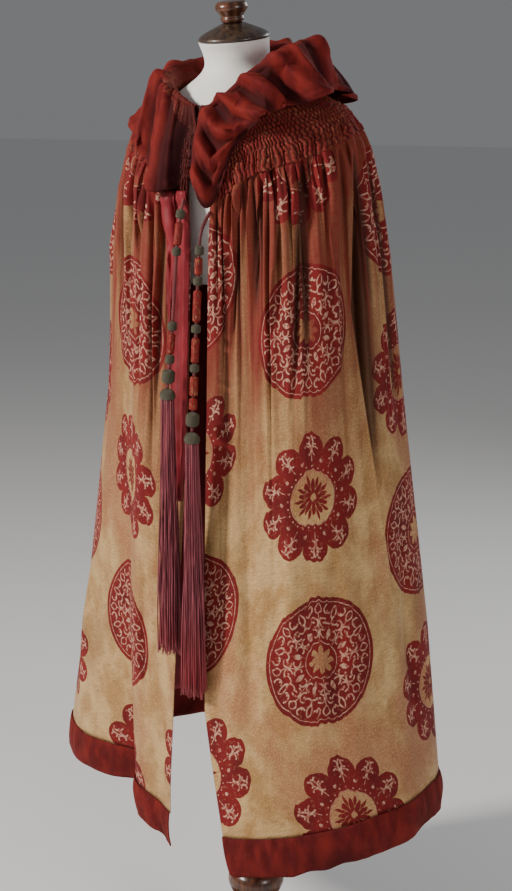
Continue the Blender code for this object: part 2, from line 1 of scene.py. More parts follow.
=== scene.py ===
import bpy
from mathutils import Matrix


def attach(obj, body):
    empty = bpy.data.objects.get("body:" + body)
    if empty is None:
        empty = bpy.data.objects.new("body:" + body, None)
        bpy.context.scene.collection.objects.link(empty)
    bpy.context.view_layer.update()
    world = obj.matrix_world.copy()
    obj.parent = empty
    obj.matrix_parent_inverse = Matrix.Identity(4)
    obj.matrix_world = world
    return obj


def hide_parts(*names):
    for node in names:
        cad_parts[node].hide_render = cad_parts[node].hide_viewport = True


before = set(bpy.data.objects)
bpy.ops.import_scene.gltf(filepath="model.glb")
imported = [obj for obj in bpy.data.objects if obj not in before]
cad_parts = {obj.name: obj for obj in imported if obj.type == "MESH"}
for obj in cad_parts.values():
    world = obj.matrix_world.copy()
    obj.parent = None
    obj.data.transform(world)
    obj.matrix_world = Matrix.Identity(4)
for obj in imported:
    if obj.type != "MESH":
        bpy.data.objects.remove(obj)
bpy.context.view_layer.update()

import math

import bpy
import numpy as np
from mathutils import Vector


# The room: a plain pale floor, soft studio light and a camera at the photograph's
# angle, a little to the wearer's left of the front and looking slightly down.
CAMERA_TURN = 33.0
CAMERA_AWAY = 2.70
CAMERA_HEIGHT = 1.565
CAMERA_DIP = 12.3
LENS_MM = 64.65

def new_material(name, colour, roughness, metallic=0.0, sheen=0.0, tint=(1, 1, 1), gloss=0.5):
    """A material and its shader, ready for more nodes."""
    made = bpy.data.materials.new(name)
    made.use_nodes = True
    shader = made.node_tree.nodes["Principled BSDF"]
    for key, value in (
        ("Base Color", (*colour, 1.0)),
        ("Roughness", roughness),
        ("Metallic", metallic),
        ("Sheen Weight", sheen),
        ("Sheen Tint", (*tint, 1.0)),
        ("Specular IOR Level", gloss),
    ):
        shader.inputs[key].default_value = value
    return made, shader


eye = bpy.data.objects.new("camera", bpy.data.cameras.new("camera"))
bpy.context.scene.collection.objects.link(eye)
turn = math.radians(CAMERA_TURN)
eye.location = (math.sin(turn) * CAMERA_AWAY, -math.cos(turn) * CAMERA_AWAY, CAMERA_HEIGHT)
eye.rotation_euler = (math.radians(90.0 - CAMERA_DIP), 0.0, turn)
eye.data.sensor_width = 36.0
eye.data.lens = LENS_MM
bpy.context.scene.camera = eye

bpy.ops.object.select_all(action="DESELECT")
bpy.ops.mesh.primitive_plane_add(size=90.0, location=(0.0, 0.0, 0.0))
floor = bpy.context.object
floor.name = "floor"
floor.data.materials.append(new_material("pale_paper", (0.90, 0.89, 0.88), 0.9)[0])

sky = bpy.data.worlds.new("studio")
sky.use_nodes = True
sky.node_tree.nodes["Background"].inputs["Color"].default_value = (0.90, 0.92, 0.95, 1.0)
sky.node_tree.nodes["Background"].inputs["Strength"].default_value = 0.20
bpy.context.scene.world = sky

LIT_PLACE = Vector((0.0, 0.0, 0.9))
LIGHTS = (
    # name, place, size, watts, colour
    ("key", (-2.1, -3.0, 2.9), 0.5, 188.0, (1.0, 0.95, 0.88)),
    ("fill", (3.6, -1.2, 1.9), 0.9, 34.0, (1.0, 0.96, 0.92)),
    ("back", (0.6, 3.0, 2.6), 1.6, 34.0, (0.95, 0.97, 1.0)),
)
for name, place, size, watts, colour in LIGHTS:
    lamp = bpy.data.objects.new(name, bpy.data.lights.new(name, "AREA"))
    lamp.data.size = size
    lamp.data.energy = watts
    lamp.data.color = colour
    lamp.location = place
    lamp.rotation_euler = (LIT_PLACE - Vector(place)).to_track_quat("-Z", "Y").to_euler()
    bpy.context.scene.collection.objects.link(lamp)


# The two ties' cords: silk cord of two strands laid together, sewn on at the neck
# and hanging down in front of the opening. Heights here and below are for the
# stand's pole at its lowest: all that rides on it is raised by POLE_DRAWN.
POLE_DRAWN = 0.115
CORD_THICK = 0.0060
CORD_LAY = 0.011
CORD_SIDES = 14
CORD_RINGS = 200
CURVE_STEPS = 24
TIES = {
    "right": (
        (-0.0236, -0.1719, 1.2973),
        (-0.0215, -0.1865, 1.2680),
        (-0.0220, -0.1930, 1.2350),
        (-0.0225, -0.1985, 1.2000),
        (-0.0250, -0.2075, 1.0900),
        (-0.0290, -0.2170, 0.9920),
    ),
    "left": (
        (0.0255, -0.1723, 1.2722),
        (0.0260, -0.1970, 1.2440),
        (0.0250, -0.2030, 1.2050),
        (0.0240, -0.2110, 1.0920),
        (0.0230, -0.2230, 0.9270),
    ),
}


def lengths_along(line):
    """How far along a line each of its points lies."""
    return np.concatenate([[0.0], np.cumsum(np.linalg.norm(np.diff(line, axis=0), axis=1))])


def smooth_route(route, count):
    """Evenly spaced points on a smooth curve through a route's points."""
    points = [Vector(p) for p in route]
    ends = [points[0] * 2 - points[1]] + points + [points[-1] * 2 - points[-2]]
    fine = []
    for k in range(1, len(ends) - 2):
        a, b, c, d = ends[k - 1 : k + 3]
        for step in range(CURVE_STEPS):
            t = step / CURVE_STEPS
            bend = (2 * a - 5 * b + 4 * c - d) * t * t + (3 * b - 3 * c + d - a) * t * t * t
            fine.append(0.5 * (2 * b + (c - a) * t + bend))
    fine.append(points[-1])
    fine = np.array([list(p) for p in fine])
    far = lengths_along(fine)
    at = np.linspace(0.0, far[-1], count)
    return np.stack([np.interp(at, far, fine[:, k]) for k in range(3)], axis=1)


def mesh_object(name, points, faces, paint):
    """An object from points and faces, with one material."""
    mesh = bpy.data.meshes.new(name)
    mesh.from_pydata(np.asarray(points).reshape(-1, 3).tolist(), [], faces)
    mesh.materials.append(paint)
    mesh.shade_smooth()
    made = bpy.data.objects.new(name, mesh)
    bpy.context.scene.collection.objects.link(made)
    return made


def tube_faces(rings, sides, first=0, turned=False):
    """The faces of a tube from one ring of points to the next, with a cap on each end."""
    faces = []
    for k in range(rings - 1):
        for j in range(sides):
            a, b = first + k * sides + j, first + k * sides + (j + 1) % sides
            faces.append((a, b, b + sides, a + sides) if turned else (a, a + sides, b + sides, b))
    last = first + (rings - 1) * sides
    near_cap, far_cap = tuple(range(first, first + sides)), tuple(range(last, last + sides))
    return faces + ([near_cap[::-1], far_cap] if turned else [near_cap, far_cap[::-1]])


def laid_cord(name, line, thick, lay, paint):
    """A cord of two strands twisted together along a line."""
    along = np.gradient(line, axis=0)
    along /= np.linalg.norm(along, axis=1)[:, None]
    across = np.cross(along, np.array([0.0, 1.0, 0.0]))
    across /= np.linalg.norm(across, axis=1)[:, None]
    front = np.cross(along, across)
    far = lengths_along(line)
    phi = np.linspace(0.0, 2 * math.pi, CORD_SIDES, endpoint=False)
    rings = []
    for k in range(len(line)):
        twist = 2 * math.pi * far[k] / lay
        reach = 0.5 * thick * (0.74 + 0.26 * np.abs(np.cos(phi - twist)))
        rings.append(
            line[k]
            + across[k] * (reach * np.cos(phi))[:, None]
            + front[k] * (reach * np.sin(phi))[:, None]
        )
    faces = tube_faces(len(line), CORD_SIDES, turned=True)
    return mesh_object(name, np.concatenate(rings), faces, paint)


def add_node(material, kind, inputs=(), **settings):
    """A shader node: its settings, and its inputs set or linked where a value is a socket."""
    node = material.node_tree.nodes.new(kind)
    for name, value in settings.items():
        setattr(node, name, value)
    for key, value in dict(inputs).items():
        if isinstance(value, bpy.types.NodeSocket):
            material.node_tree.links.new(value, node.inputs[key])
        else:
            node.inputs[key].default_value = value
    return node


def sum_of(material, operation, *values, clamp=False):
    """One sum on sockets or numbers; returns its result."""
    return add_node(
        material, "ShaderNodeMath", enumerate(values), operation=operation, use_clamp=clamp
    ).outputs[0]


def stretched_noise(material, source, scale, detail=3.0, rough=0.55):
    """Noise read from a coordinate that is scaled along each of its axes."""
    spread = add_node(material, "ShaderNodeMapping", {"Vector": source, "Scale": scale})
    drawn = {"Vector": spread.outputs["Vector"], "Scale": 1.0, "Detail": detail, "Roughness": rough}
    return add_node(material, "ShaderNodeTexNoise", drawn).outputs["Fac"]


def blend_colour(material, share, one, two):
    """Two colours, or colour sockets, mixed by a share that varies."""
    one, two = ((*value, 1.0) if isinstance(value, tuple) else value for value in (one, two))
    colours = {0: share, 6: one, 7: two}
    return add_node(material, "ShaderNodeMix", colours, data_type="RGBA").outputs[2]


def eased(material, value, low, high):
    """A soft step from 0 at low to 1 at high."""
    step = {"Value": value, "From Min": low, "From Max": high}
    made = add_node(material, "ShaderNodeMapRange", step, interpolation_type="SMOOTHSTEP")
    return made.outputs["Result"]


def raised(material, shader, height, distance):
    """Relief from a height that is 0 to 1, deep by the distance in metres."""
    bump = add_node(material, "ShaderNodeBump", {"Distance": distance, "Height": height})
    material.node_tree.links.new(bump.outputs["Normal"], shader.inputs["Normal"])


def object_places(material):
    return add_node(material, "ShaderNodeTexCoord").outputs["Object"]


def coloured(material, shader, colour):
    material.node_tree.links.new(colour, shader.inputs["Base Color"])


tie_silk, shader = new_material("tie_silk", (0.20, 0.035, 0.045), 0.55, sheen=0.05, tint=(1, 0.5, 0.5))
places = object_places(tie_silk)
faded = eased(tie_silk, stretched_noise(tie_silk, places, (60, 60, 9)), 0.35, 0.70)
coloured(tie_silk, shader, blend_colour(tie_silk, faded, (0.08, 0.0075, 0.01), (0.215, 0.029, 0.033)))
raised(tie_silk, shader, stretched_noise(tie_silk, places, (2600, 2600, 700)), 0.0003)

cords = {}
cord_lines = {}
for side, route in TIES.items():
    line = smooth_route(route, CORD_RINGS) + np.array([0.0, 0.0, POLE_DRAWN])
    cord_lines[side] = line
    cords[side] = laid_cord("silk_cord_" + side, line, CORD_THICK, CORD_LAY, tie_silk)
    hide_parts("cord_" + side)
    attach(cords[side], "root")


# The dress form's body: a hollow shell covered in smooth white stretched cloth.
FORM = (
    # height, side, front, back, centre_y
    (1.540, 0.0570, 0.0590, 0.0550, -0.064),
    (1.517, 0.0535, 0.0555, 0.0520, -0.057),
    (1.495, 0.0530, 0.0540, 0.0510, -0.049),
    (1.478, 0.0760, 0.0710, 0.0630, -0.043),
    (1.455, 0.1185, 0.0910, 0.0830, -0.038),
    (1.430, 0.1570, 0.1070, 0.1010, -0.034),
    (1.400, 0.1860, 0.1180, 0.1140, -0.030),
    (1.370, 0.1960, 0.1240, 0.1200, -0.026),
    (1.320, 0.1950, 0.1310, 0.1240, -0.020),
    (1.240, 0.1860, 0.1340, 0.1220, -0.013),
    (1.170, 0.1700, 0.1240, 0.1160, -0.008),
    (1.150, 0.1600, 0.1140, 0.1060, -0.008),
)


def ease(t):
    t = np.clip(t, 0.0, 1.0)
    return t * t * (3.0 - 2.0 * t)


def read(table, column, at):
    """A table's column at the given keys, straight between its rows."""
    rows = sorted(table)
    return np.interp(at, [row[0] for row in rows], [row[column] for row in rows])


def bell(value, middle, width):
    """1 at the middle, falling off softly each side."""
    return np.exp(-(((value - middle) / width) ** 2))


def form_radius(angle, height):
    """How far the form reaches from its middle line, smooth between its rings."""
    side, front, back = (read(FORM, k, height) for k in (1, 2, 3))
    depth = back + (front - back) * ease((100.0 - np.abs((angle + 180.0) % 360.0 - 180.0)) / 20.0)
    turn = np.radians(angle)
    return 1.0 / np.hypot(np.sin(turn) / side, np.cos(turn) / depth)


linen, shader = new_material("white_cover", (0.86, 0.83, 0.77), 0.75, sheen=0.1)
places = object_places(linen)
yellowed = eased(linen, stretched_noise(linen, places, (9.0, 9.0, 9.0), 4.0), 0.35, 0.75)
coloured(linen, shader, blend_colour(linen, yellowed, (0.95, 0.94, 0.91), (0.90, 0.88, 0.83)))
raised(linen, shader, stretched_noise(linen, places, (1100.0, 1100.0, 1100.0), 2.0), 0.0003)
NECK_SLOPE = 0.16
columns, rows = 96, 80
heights = np.linspace(FORM[0][0], FORM[-1][0], rows)
angle = np.linspace(0.0, 360.0, columns, endpoint=False)[None, :] + np.zeros((rows, 1))
height = np.repeat(heights[:, None], columns, axis=1)
radius = form_radius(angle, height)
for _ in range(6):
    radius[1:-1] = 0.25 * radius[:-2] + 0.5 * radius[1:-1] + 0.25 * radius[2:]
middle = read(FORM, 4, height)
turn = np.radians(angle)
tilt = NECK_SLOPE * radius * np.cos(turn) * ease((height - 1.515) / 0.025)
points = np.stack(
    [radius * np.sin(turn), middle - radius * np.cos(turn), height - tilt + POLE_DRAWN], axis=-1
)
cover = mesh_object("covered_form", points, tube_faces(rows, columns), linen)
cover.data.set_sharp_from_angle(angle=math.radians(50))
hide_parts("dress_form")
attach(cover, "root")


# The cape's four lengths of printed cloth: gathered at the top into the shirring,
# hanging in a few large folds, open down the front. Silk, printed in dull gold on
# crimson, with crimson roundels. The roundels here are a plain design of their own.
CAPE = (
    # height, side_right, side_left, front_right, front_left, back, centre_y
    (1.500, 0.058, 0.058, 0.058, 0.058, 0.056, -0.047),
    (1.478, 0.082, 0.082, 0.076, 0.076, 0.068, -0.043),
    (1.455, 0.124, 0.134, 0.096, 0.096, 0.088, -0.038),
    (1.430, 0.162, 0.180, 0.112, 0.112, 0.106, -0.034),
    (1.400, 0.194, 0.202, 0.124, 0.124, 0.120, -0.030),
    (1.370, 0.217, 0.211, 0.134, 0.134, 0.132, -0.026),
    (1.300, 0.245, 0.223, 0.146, 0.148, 0.150, -0.020),
    (1.200, 0.266, 0.236, 0.154, 0.158, 0.166, -0.016),
    (0.940, 0.281, 0.260, 0.172, 0.174, 0.198, -0.008),
    (0.580, 0.337, 0.302, 0.195, 0.204, 0.236, 0.000),
    (0.190, 0.402, 0.342, 0.190, 0.260, 0.276, 0.000),
)
FRONT_EDGES = (
    # height, right, left
    (1.440, -9.0, 9.0),
    (1.300, -7.0, 9.0),
    (1.200, -4.5, 8.0),
    (0.900, -5.0, 7.5),
    (0.600, -8.0, 8.0),
    (0.450, -9.5, 10.0),
    (0.300, -11.0, 18.0),
    (0.190, -10.0, 23.5),
)
LEVELS = (
    # angle, neck_seam, yoke_edge, hem
    (-180, 1.476, 1.405, 0.244),
    (-120, 1.474, 1.400, 0.244),
    (-90, 1.470, 1.382, 0.242),
    (-60, 1.458, 1.360, 0.236),
    (-35, 1.440, 1.335, 0.216),
    (-12, 1.420, 1.290, 0.192),
    (0, 1.414, 1.280, 0.188),
    (12, 1.420, 1.288, 0.190),
    (35, 1.440, 1.331, 0.204),
    (60, 1.458, 1.355, 0.226),
    (90, 1.470, 1.395, 0.242),
    (120, 1.474, 1.408, 0.244),
    (180, 1.476, 1.405, 0.244),
)
FOLDS = (
    # angle, width, top, middle, low, hem
    (-20, 6, -0.012, -0.012, -0.006, -0.004),
    (-33, 7, 0.008, 0.010, 0.006, 0.002),
    (-56, 11, -0.006, -0.010, -0.048, -0.100),
    (-88, 8, 0.006, 0.010, 0.014, 0.016),
    (-112, 8, -0.010, -0.018, -0.022, -0.020),
    (-132, 9, 0.010, 0.014, 0.018, 0.016),
    (-152, 8, -0.012, -0.020, -0.024, -0.020),
    (-170, 8, 0.008, 0.012, 0.014, 0.012),
    (170, 8, -0.010, -0.018, -0.020, -0.018),
    (150, 9, 0.010, 0.014, 0.016, 0.014),
    (128, 8, -0.012, -0.020, -0.024, -0.022),
    (104, 8, 0.008, 0.010, 0.010, 0.008),
    (74, 6, -0.017, -0.016, -0.007, -0.003),
    (52, 10, 0.008, 0.008, 0.003, 0.000),
    (31, 5, -0.010, -0.006, -0.002, 0.000),
    (18, 4, -0.009, -0.005, -0.002, 0.000),
)
FOLD_HEIGHTS = (1.34, 1.20, 0.94, 0.58, 0.22)
# Creases that run down from the gathers, most of them gone by mid height.
CREASES = (
    # angle, top, bottom, width, depth, lean
    (13.0, 1.30, 1.04, 1.3, -0.0050, 1.0),
    (22.5, 1.33, 0.98, 1.6, -0.0065, 1.5),
    (26.5, 1.34, 1.12, 1.2, 0.0040, 1.0),
    (35.5, 1.36, 1.06, 1.5, -0.0060, 0.5),
    (40.0, 1.36, 0.90, 1.9, -0.0055, -1.0),
    (45.5, 1.37, 1.16, 1.4, -0.0045, 0.0),
    (57.0, 1.38, 1.00, 2.0, -0.0055, 0.0),
    (63.0, 1.38, 1.14, 1.5, -0.0050, -1.0),
    (69.5, 1.38, 0.84, 1.9, 0.0055, -1.5),
    (80.0, 1.39, 0.92, 1.8, -0.0060, -1.0),
    (86.5, 1.39, 1.10, 1.4, -0.0045, 0.0),
    (97.0, 1.39, 0.80, 2.0, -0.0060, 1.0),
    (110.0, 1.39, 1.05, 1.6, -0.0050, 0.0),
    (119.0, 1.39, 0.70, 2.2, 0.0060, 1.5),
    (137.0, 1.39, 0.96, 1.8, -0.0060, 0.0),
    (145.0, 1.39, 1.12, 1.4, -0.0045, 1.0),
    (160.0, 1.39, 0.72, 2.2, -0.0060, -1.0),
    (-178.0, 1.39, 1.02, 1.7, 0.0050, 0.0),
    (-163.0, 1.39, 0.84, 2.0, -0.0060, 1.0),
    (-143.0, 1.39, 1.08, 1.6, -0.0050, 0.0),
    (-122.0, 1.39, 0.76, 2.2, 0.0060, -1.0),
    (-100.0, 1.38, 0.98, 1.8, -0.0060, 0.0),
    (-80.0, 1.37, 0.88, 2.0, -0.0060, 0.0),
    (-72.0, 1.37, 1.10, 1.5, -0.0050, 1.0),
    (-54.0, 1.36, 0.86, 1.8, -0.0065, -1.0),
    (-47.0, 1.35, 1.08, 1.5, 0.0050, -1.0),
    (-40.0, 1.34, 0.92, 1.7, -0.0065, -1.0),
    (-27.0, 1.32, 0.74, 1.6, -0.0060, -0.5),
    (-13.5, 1.29, 0.98, 1.3, 0.0045, 0.0),
    (29.0, 0.90, 0.32, 3.0, -0.0040, 2.0),
    (46.0, 1.02, 0.30, 4.0, 0.0050, 2.0),
    (63.0, 0.86, 0.28, 3.5, -0.0050, -2.0),
    (91.0, 0.84, 0.28, 3.0, -0.0060, -1.0),
    (-30.0, 0.80, 0.28, 2.6, -0.0050, 1.5),
    (-75.0, 0.70, 0.28, 3.0, 0.0060, 0.0),
    (-101.0, 0.80, 0.28, 3.0, -0.0060, 1.0),
    (140.0, 0.84, 0.28, 3.0, -0.0060, -1.0),
    (-142.0, 0.80, 0.28, 3.0, -0.0060, 1.0),
)
# Pleats: the cloth laps over itself, with a sharp drop on one side of each.
PLEATS = (
    # top, angle_top, middle, angle_middle, bottom, angle_bottom, width, depth
    (1.385, 84.0, 1.12, 78.0, 0.50, 86.0, 5.0, 0.0210),
    (1.365, 60.0, 1.25, 54.0, 0.92, 48.0, 4.0, 0.0150),
    (1.290, 48.5, 1.18, 44.0, 0.98, 40.5, 3.2, 0.0085),
    (1.350, 30.5, 1.26, 26.0, 1.02, 21.0, 3.4, 0.0125),
    (1.355, 41.5, 1.28, 37.5, 1.12, 34.0, 2.8, 0.0075),
    (1.375, 69.0, 1.29, 67.0, 1.17, 66.0, 3.0, 0.0070),
    (1.320, -34.0, 1.20, -31.0, 0.80, -27.0, -3.2, 0.0135),
    (1.300, -23.0, 1.19, -24.0, 0.98, -23.0, -2.6, 0.0075),
    (1.330, -46.0, 1.20, -41.5, 0.92, -37.0, -3.0, 0.0095),
    (1.350, -62.0, 1.22, -58.0, 0.98, -56.0, -3.4, 0.0100),
    (1.380, -86.0, 1.18, -90.0, 0.70, -95.0, 4.2, 0.0110),
    (1.395, -116.0, 1.20, -112.0, 0.90, -114.0, 4.0, 0.0100),
    (1.400, -139.0, 1.16, -143.0, 0.62, -140.0, -5.0, 0.0140),
    (1.400, -158.0, 1.24, -160.0, 1.02, -158.0, 3.4, 0.0090),
    (1.400, 176.0, 1.18, 178.0, 0.74, 173.0, 4.6, 0.0120),
    (1.400, 153.0, 1.22, 150.0, 0.96, 152.0, -3.6, 0.0100),
    (1.405, 132.0, 1.18, 134.0, 0.66, 129.0, 4.8, 0.0130),
    (1.400, 109.0, 1.24, 106.0, 0.96, 107.0, 3.6, 0.0100),
)
PANELS = (
    # name, start, end
    ("front_left", 0.000, 0.235),
    ("back_left", 0.235, 0.500),
    ("back_right", 0.500, 0.765),
    ("front_right", 0.765, 1.000),
)
GATHERS = 102
CLOTH_THICK = 0.0011
CLOTH_OUT = 0.0016
SEAM_GAP = 0.00007
BAND_DEPTH = 0.062


def wrapped(angle):
    return (np.asarray(angle) + 180.0) % 360.0 - 180.0


def angle_at(share, height):
    left = read(FRONT_EDGES, 2, height)
    right = 360.0 + read(FRONT_EDGES, 1, height)
    return left + (right - left) * share


def cape_radius(angle, height, folds):
    now = wrapped(angle)
    blend = ease((now + 40.0) / 80.0)
    blend = np.where(np.abs(now) > 90.0, ease((220.0 - angle % 360.0) / 80.0), blend)
    side_right, side_left, front_right, front_left, back = (read(CAPE, k, height) for k in range(1, 6))
    side = side_right + (side_left - side_right) * blend
    front = front_right + (front_left - front_right) * blend
    depth = back + (front - back) * ease((100.0 - np.abs(now)) / 20.0)
    turn = np.radians(now)
    radius = 1.0 / np.hypot(np.sin(turn) / side, np.cos(turn) / depth)
    if folds:
        for at, width, *depths in FOLDS:
            off = wrapped(now - at) / width
            size = np.interp(height, FOLD_HEIGHTS[::-1], (0.0, *depths)[::-1])
            radius = radius + size * np.exp(-off * off)
        start = read(LEVELS, 2, now)
        edge = np.minimum(
            np.abs(wrapped(now - read(FRONT_EDGES, 2, height))),
            np.abs(wrapped(now - read(FRONT_EDGES, 1, height))),
        )
        calm = ease((edge - 5.0) / 12.0)
        for waves, reach, size in ((GATHERS / 2, 0.26, 0.0026), (GATHERS / 4, 0.42, 0.0020)):
            fade = 1.0 - ease((start - height) / reach)
            radius = radius + calm * size * fade * np.cos(np.radians(angle) * waves)
    return radius


def cape_place(angle, height, folds=True):
    """Points on the cape's inner face."""
    radius = cape_radius(angle, height, folds)
    turn = np.radians(angle)
    centre = read(CAPE, 6, height)
    return np.stack([radius * np.sin(turn), centre - radius * np.cos(turn), height], axis=-1)


def facing_out(points):
    """The outward direction at each point of a grid: rows run down, columns round."""
    down = np.gradient(points, axis=0)
    round_it = np.gradient(points, axis=1)
    out = np.cross(down, round_it)
    return out / np.maximum(np.linalg.norm(out, axis=-1, keepdims=True), 1e-12)


CREASE_STRENGTH = 1.7
HIGH_CREASE = 1.2


def crease_depth(angle, height):
    """The creases' and pleats' depth, soft at both ends and along each side."""
    depth = np.zeros(np.broadcast(angle, height).shape)
    for at, top, bottom, width, size, lean in CREASES:
        along = (top - height) / (top - bottom)
        off = wrapped(angle - at - lean * along) / width
        ends = ease(along * (5.0 if top > HIGH_CREASE else 1.8)) * ease((1.0 - along) * 1.6)
        depth = depth + CREASE_STRENGTH * size * ends * np.exp(-off * off)
    for top, at_top, middle, at_middle, bottom, at_bottom, width, size in PLEATS:
        at = np.interp(height, (bottom, middle, top), (at_bottom, at_middle, at_top))
        off = wrapped(angle - at) / width
        ends = ease((top - height) / 0.05) * ease((height - bottom) / (0.62 * (top - bottom)))
        over = ease(off * 3.2 + 0.5)
        lap = 0.45 * (1.0 - over) * np.exp(np.minimum(off, 0.0)) - over * np.exp(-np.maximum(off, 0.0))
        depth = depth + size * ends * lap
    return depth


def grid_faces(rows, columns):
    k = np.arange(rows - 1)[:, None] * columns + np.arange(columns - 1)[None, :]
    return np.stack([k, k + columns, k + columns + 1, k + 1], axis=-1).reshape(-1, 4).tolist()


def cloth_object(name, points, flat, paint, thick=None, shade=None, reverse=None, inner=None):
    """A wall of cloth from a grid of points, with its flat places as a UV map.

    The reverse is the grid of points given as inner, or else the face set in by the thickness.
    """
    rows, columns = points.shape[:2]
    faces = grid_faces(rows, columns)
    count = rows * columns
    grids = [points]
    if inner is not None:
        grids.append(inner)
        faces += [[k + count for k in face[::-1]] for face in faces]
        k = np.arange(count).reshape(rows, columns)
        rim = np.concatenate([k[0, ::-1], k[1:, 0], k[-1, 1:], k[-2:0:-1, -1]])
        faces += [[int(a), int(b), int(b) + count, int(a) + count] for a, b in zip(np.roll(rim, -1), rim)]
    whole_grid = np.concatenate([grid.reshape(-1, 3) for grid in grids]) + np.array([0.0, 0.0, POLE_DRAWN])
    made = mesh_object(name, whole_grid, faces, paint)
    layer = made.data.uv_layers.new(name="flat_cloth")
    corner = np.empty(len(made.data.loops), np.int32)
    made.data.loops.foreach_get("vertex_index", corner)
    layer.data.foreach_set("uv", flat.reshape(-1, 2)[corner % count].ravel().astype(np.float32))
    if shade is not None:
        mark = made.data.attributes.new("shade", "FLOAT", "POINT")
        mark.data.foreach_set("value", np.tile(shade.ravel(), len(grids)).astype(np.float32))
    if reverse is not None:
        made.data.materials.append(reverse)
        printed = (rows - 1) * (columns - 1)
        for face in made.data.polygons:
            face.material_index = int(printed <= face.index < 2 * printed)
    if thick is not None:
        wall = made.modifiers.new("thickness", "SOLIDIFY")
        wall.thickness = thick
        wall.offset = -1.0
        bpy.ops.object.select_all(action="DESELECT")
        made.select_set(True)
        bpy.context.view_layer.objects.active = made
        bpy.ops.object.modifier_apply(modifier=wall.name)
    return made


def steps_along(points, axis):
    """Distances along a grid's rows (axis 1) or columns (axis 0)."""
    step = np.linalg.norm(np.diff(points, axis=axis), axis=-1)
    far = np.cumsum(step, axis=axis)
    return np.concatenate([np.zeros_like(np.take(far, [0], axis=axis)), far], axis=axis)


def uneven_run(count, seed, low, high):
    """Uneven values from low to high, so many of them, spread over the way round."""
    values = np.random.default_rng(seed).uniform(low, high, count)
    return np.interp(FINE_SHARES, np.linspace(0, 1, count), values)


# How wide the cloth is cut: its length round the folds a little above the hem.
FINE_SHARES = np.linspace(0.0, 1.0, 1601)
cut_height = np.full((1, FINE_SHARES.size), 0.50)
cut_round = steps_along(cape_place(angle_at(FINE_SHARES[None, :], cut_height), cut_height), 1)[0]
gather_phase = uneven_run(90, 5, -0.9, 0.9)
gather_length = uneven_run(150, 6, 0.5, 1.5)


def soft_random(shape, rows, columns, seed):
    """Smooth random values from -1 to 1 over a grid, as many bumps as asked."""
    coarse = np.random.default_rng(seed).uniform(-1.0, 1.0, (rows + 3, columns + 3))
    down = np.linspace(0.0, rows, shape[0])
    over = np.linspace(0.0, columns, shape[1])
    r, c = down.astype(int), over.astype(int)
    u, v = ease(down - r)[:, None], ease(over - c)[None, :]
    near_rows = coarse[r][:, c] * (1 - v) + coarse[r][:, c + 1] * v
    next_rows = coarse[r + 1][:, c] * (1 - v) + coarse[r + 1][:, c + 1] * v
    return near_rows * (1 - u) + next_rows * u


def rounded_ridges(turns):
    """Ridges that are round on top and narrow in the valleys, from -1 to 1."""
    return 1.0 - 2.0 * (np.sqrt(np.sin(math.pi * turns) ** 2 + 0.03) - 0.173) / 0.842


def panel_shares(start, end, rows, columns):
    """A length's shares of the way round, a hair inside its seams, and 0 at the seams."""
    left = start + (SEAM_GAP if start > 0.0 else 0.0)
    right = end - (SEAM_GAP if end < 1.0 else 0.0)
    share = np.repeat(np.linspace(left, right, columns)[None, :], rows, axis=0)
    return share, ease(np.minimum(share - left, right - share) / 0.008)


GUIDE_HEIGHT = 0.8


def levels_at(share):
    """The neck seam, the shirring's lower edge and the hem, each way round the cape."""
    guide = wrapped(angle_at(share, np.full_like(share, GUIDE_HEIGHT)))
    return [read(LEVELS, k, guide) for k in (1, 2, 3)]


GATHER_WAVES = (
    # waves, grows, reach, size
    (160, 0.006, 0.10, 0.0026),
    (80, 0.034, 0.24, 0.0046),
    (40, 0.070, 0.40, 0.0056),
    (20, 0.120, 0.58, 0.0040),
)


def fine_gathers(share, height, start):
    """Gathers that run on from the shirring and merge two by two."""
    phase = np.interp(share, FINE_SHARES, gather_phase)
    length = np.interp(share, FINE_SHARES, gather_length)
    depth = 0.0
    for waves, grows, reach, size in GATHER_WAVES:
        fade = ease((start - height) / grows + 0.1) * (1.0 - ease((start - height) / (reach * length)))
        drift = phase * 0.16 * 160 / waves / 2 + 0.075 * np.sin(height * 9.0 + share * 40.0)
        depth = depth - size * fade * rounded_ridges(waves * share + drift)
    edge = np.minimum(share, 1.0 - share)
    return depth * ease(edge / 0.03)


FORM_FOOT = 1.14


def moved_out(points, centre, least):
    """Points moved out from a middle line to the least distance at their angle and height."""
    away = np.stack([points[..., 0], points[..., 1] - centre], axis=-1)
    now = np.linalg.norm(away, axis=-1)
    at = np.degrees(np.arctan2(points[..., 0], centre - points[..., 1]))
    grow = np.maximum(now, least(at, points[..., 2])) / np.maximum(now, 1e-9)
    moved = points.copy()
    moved[..., 0] *= grow
    moved[..., 1] = centre + away[..., 1] * grow
    return moved


def held_off_form(points, gap):
    """Points moved out where they would lie in the dress form."""

    def least(angle, height):
        return np.where(height > FORM_FOOT, form_radius(angle, height) + gap, 0.0)

    return moved_out(points, read(FORM, 4, points[..., 2]), least)


def panel_flat(share, points, top_down, fullness=1.0):
    """Where each point lies on the flat cloth, in metres across and down."""
    across = np.interp(share, FINE_SHARES, cut_round) * fullness
    return np.stack([across, -(steps_along(points, 0) + top_down)], axis=-1)


print_gold, shader = new_material("gold_printed_silk", (0.5, 0.33, 0.15), 0.5, sheen=0.04, gloss=0.3)
flat_cloth = add_node(print_gold, "ShaderNodeUVMap", uv_map="flat_cloth").outputs["UV"]
parts_of = add_node(print_gold, "ShaderNodeSeparateXYZ", {"Vector": flat_cloth})
across, down = parts_of.outputs["X"], parts_of.outputs["Y"]


def shade_of(material):
    """How far out of the valleys a point of cloth lies, 0 deep in one, 1 on a ridge: the painted shade it
    is given.
    """
    return add_node(material, "ShaderNodeAttribute", attribute_name="shade").outputs["Fac"]


def calc(operation, *values, clamp=False):
    return sum_of(print_gold, operation, *values, clamp=clamp)


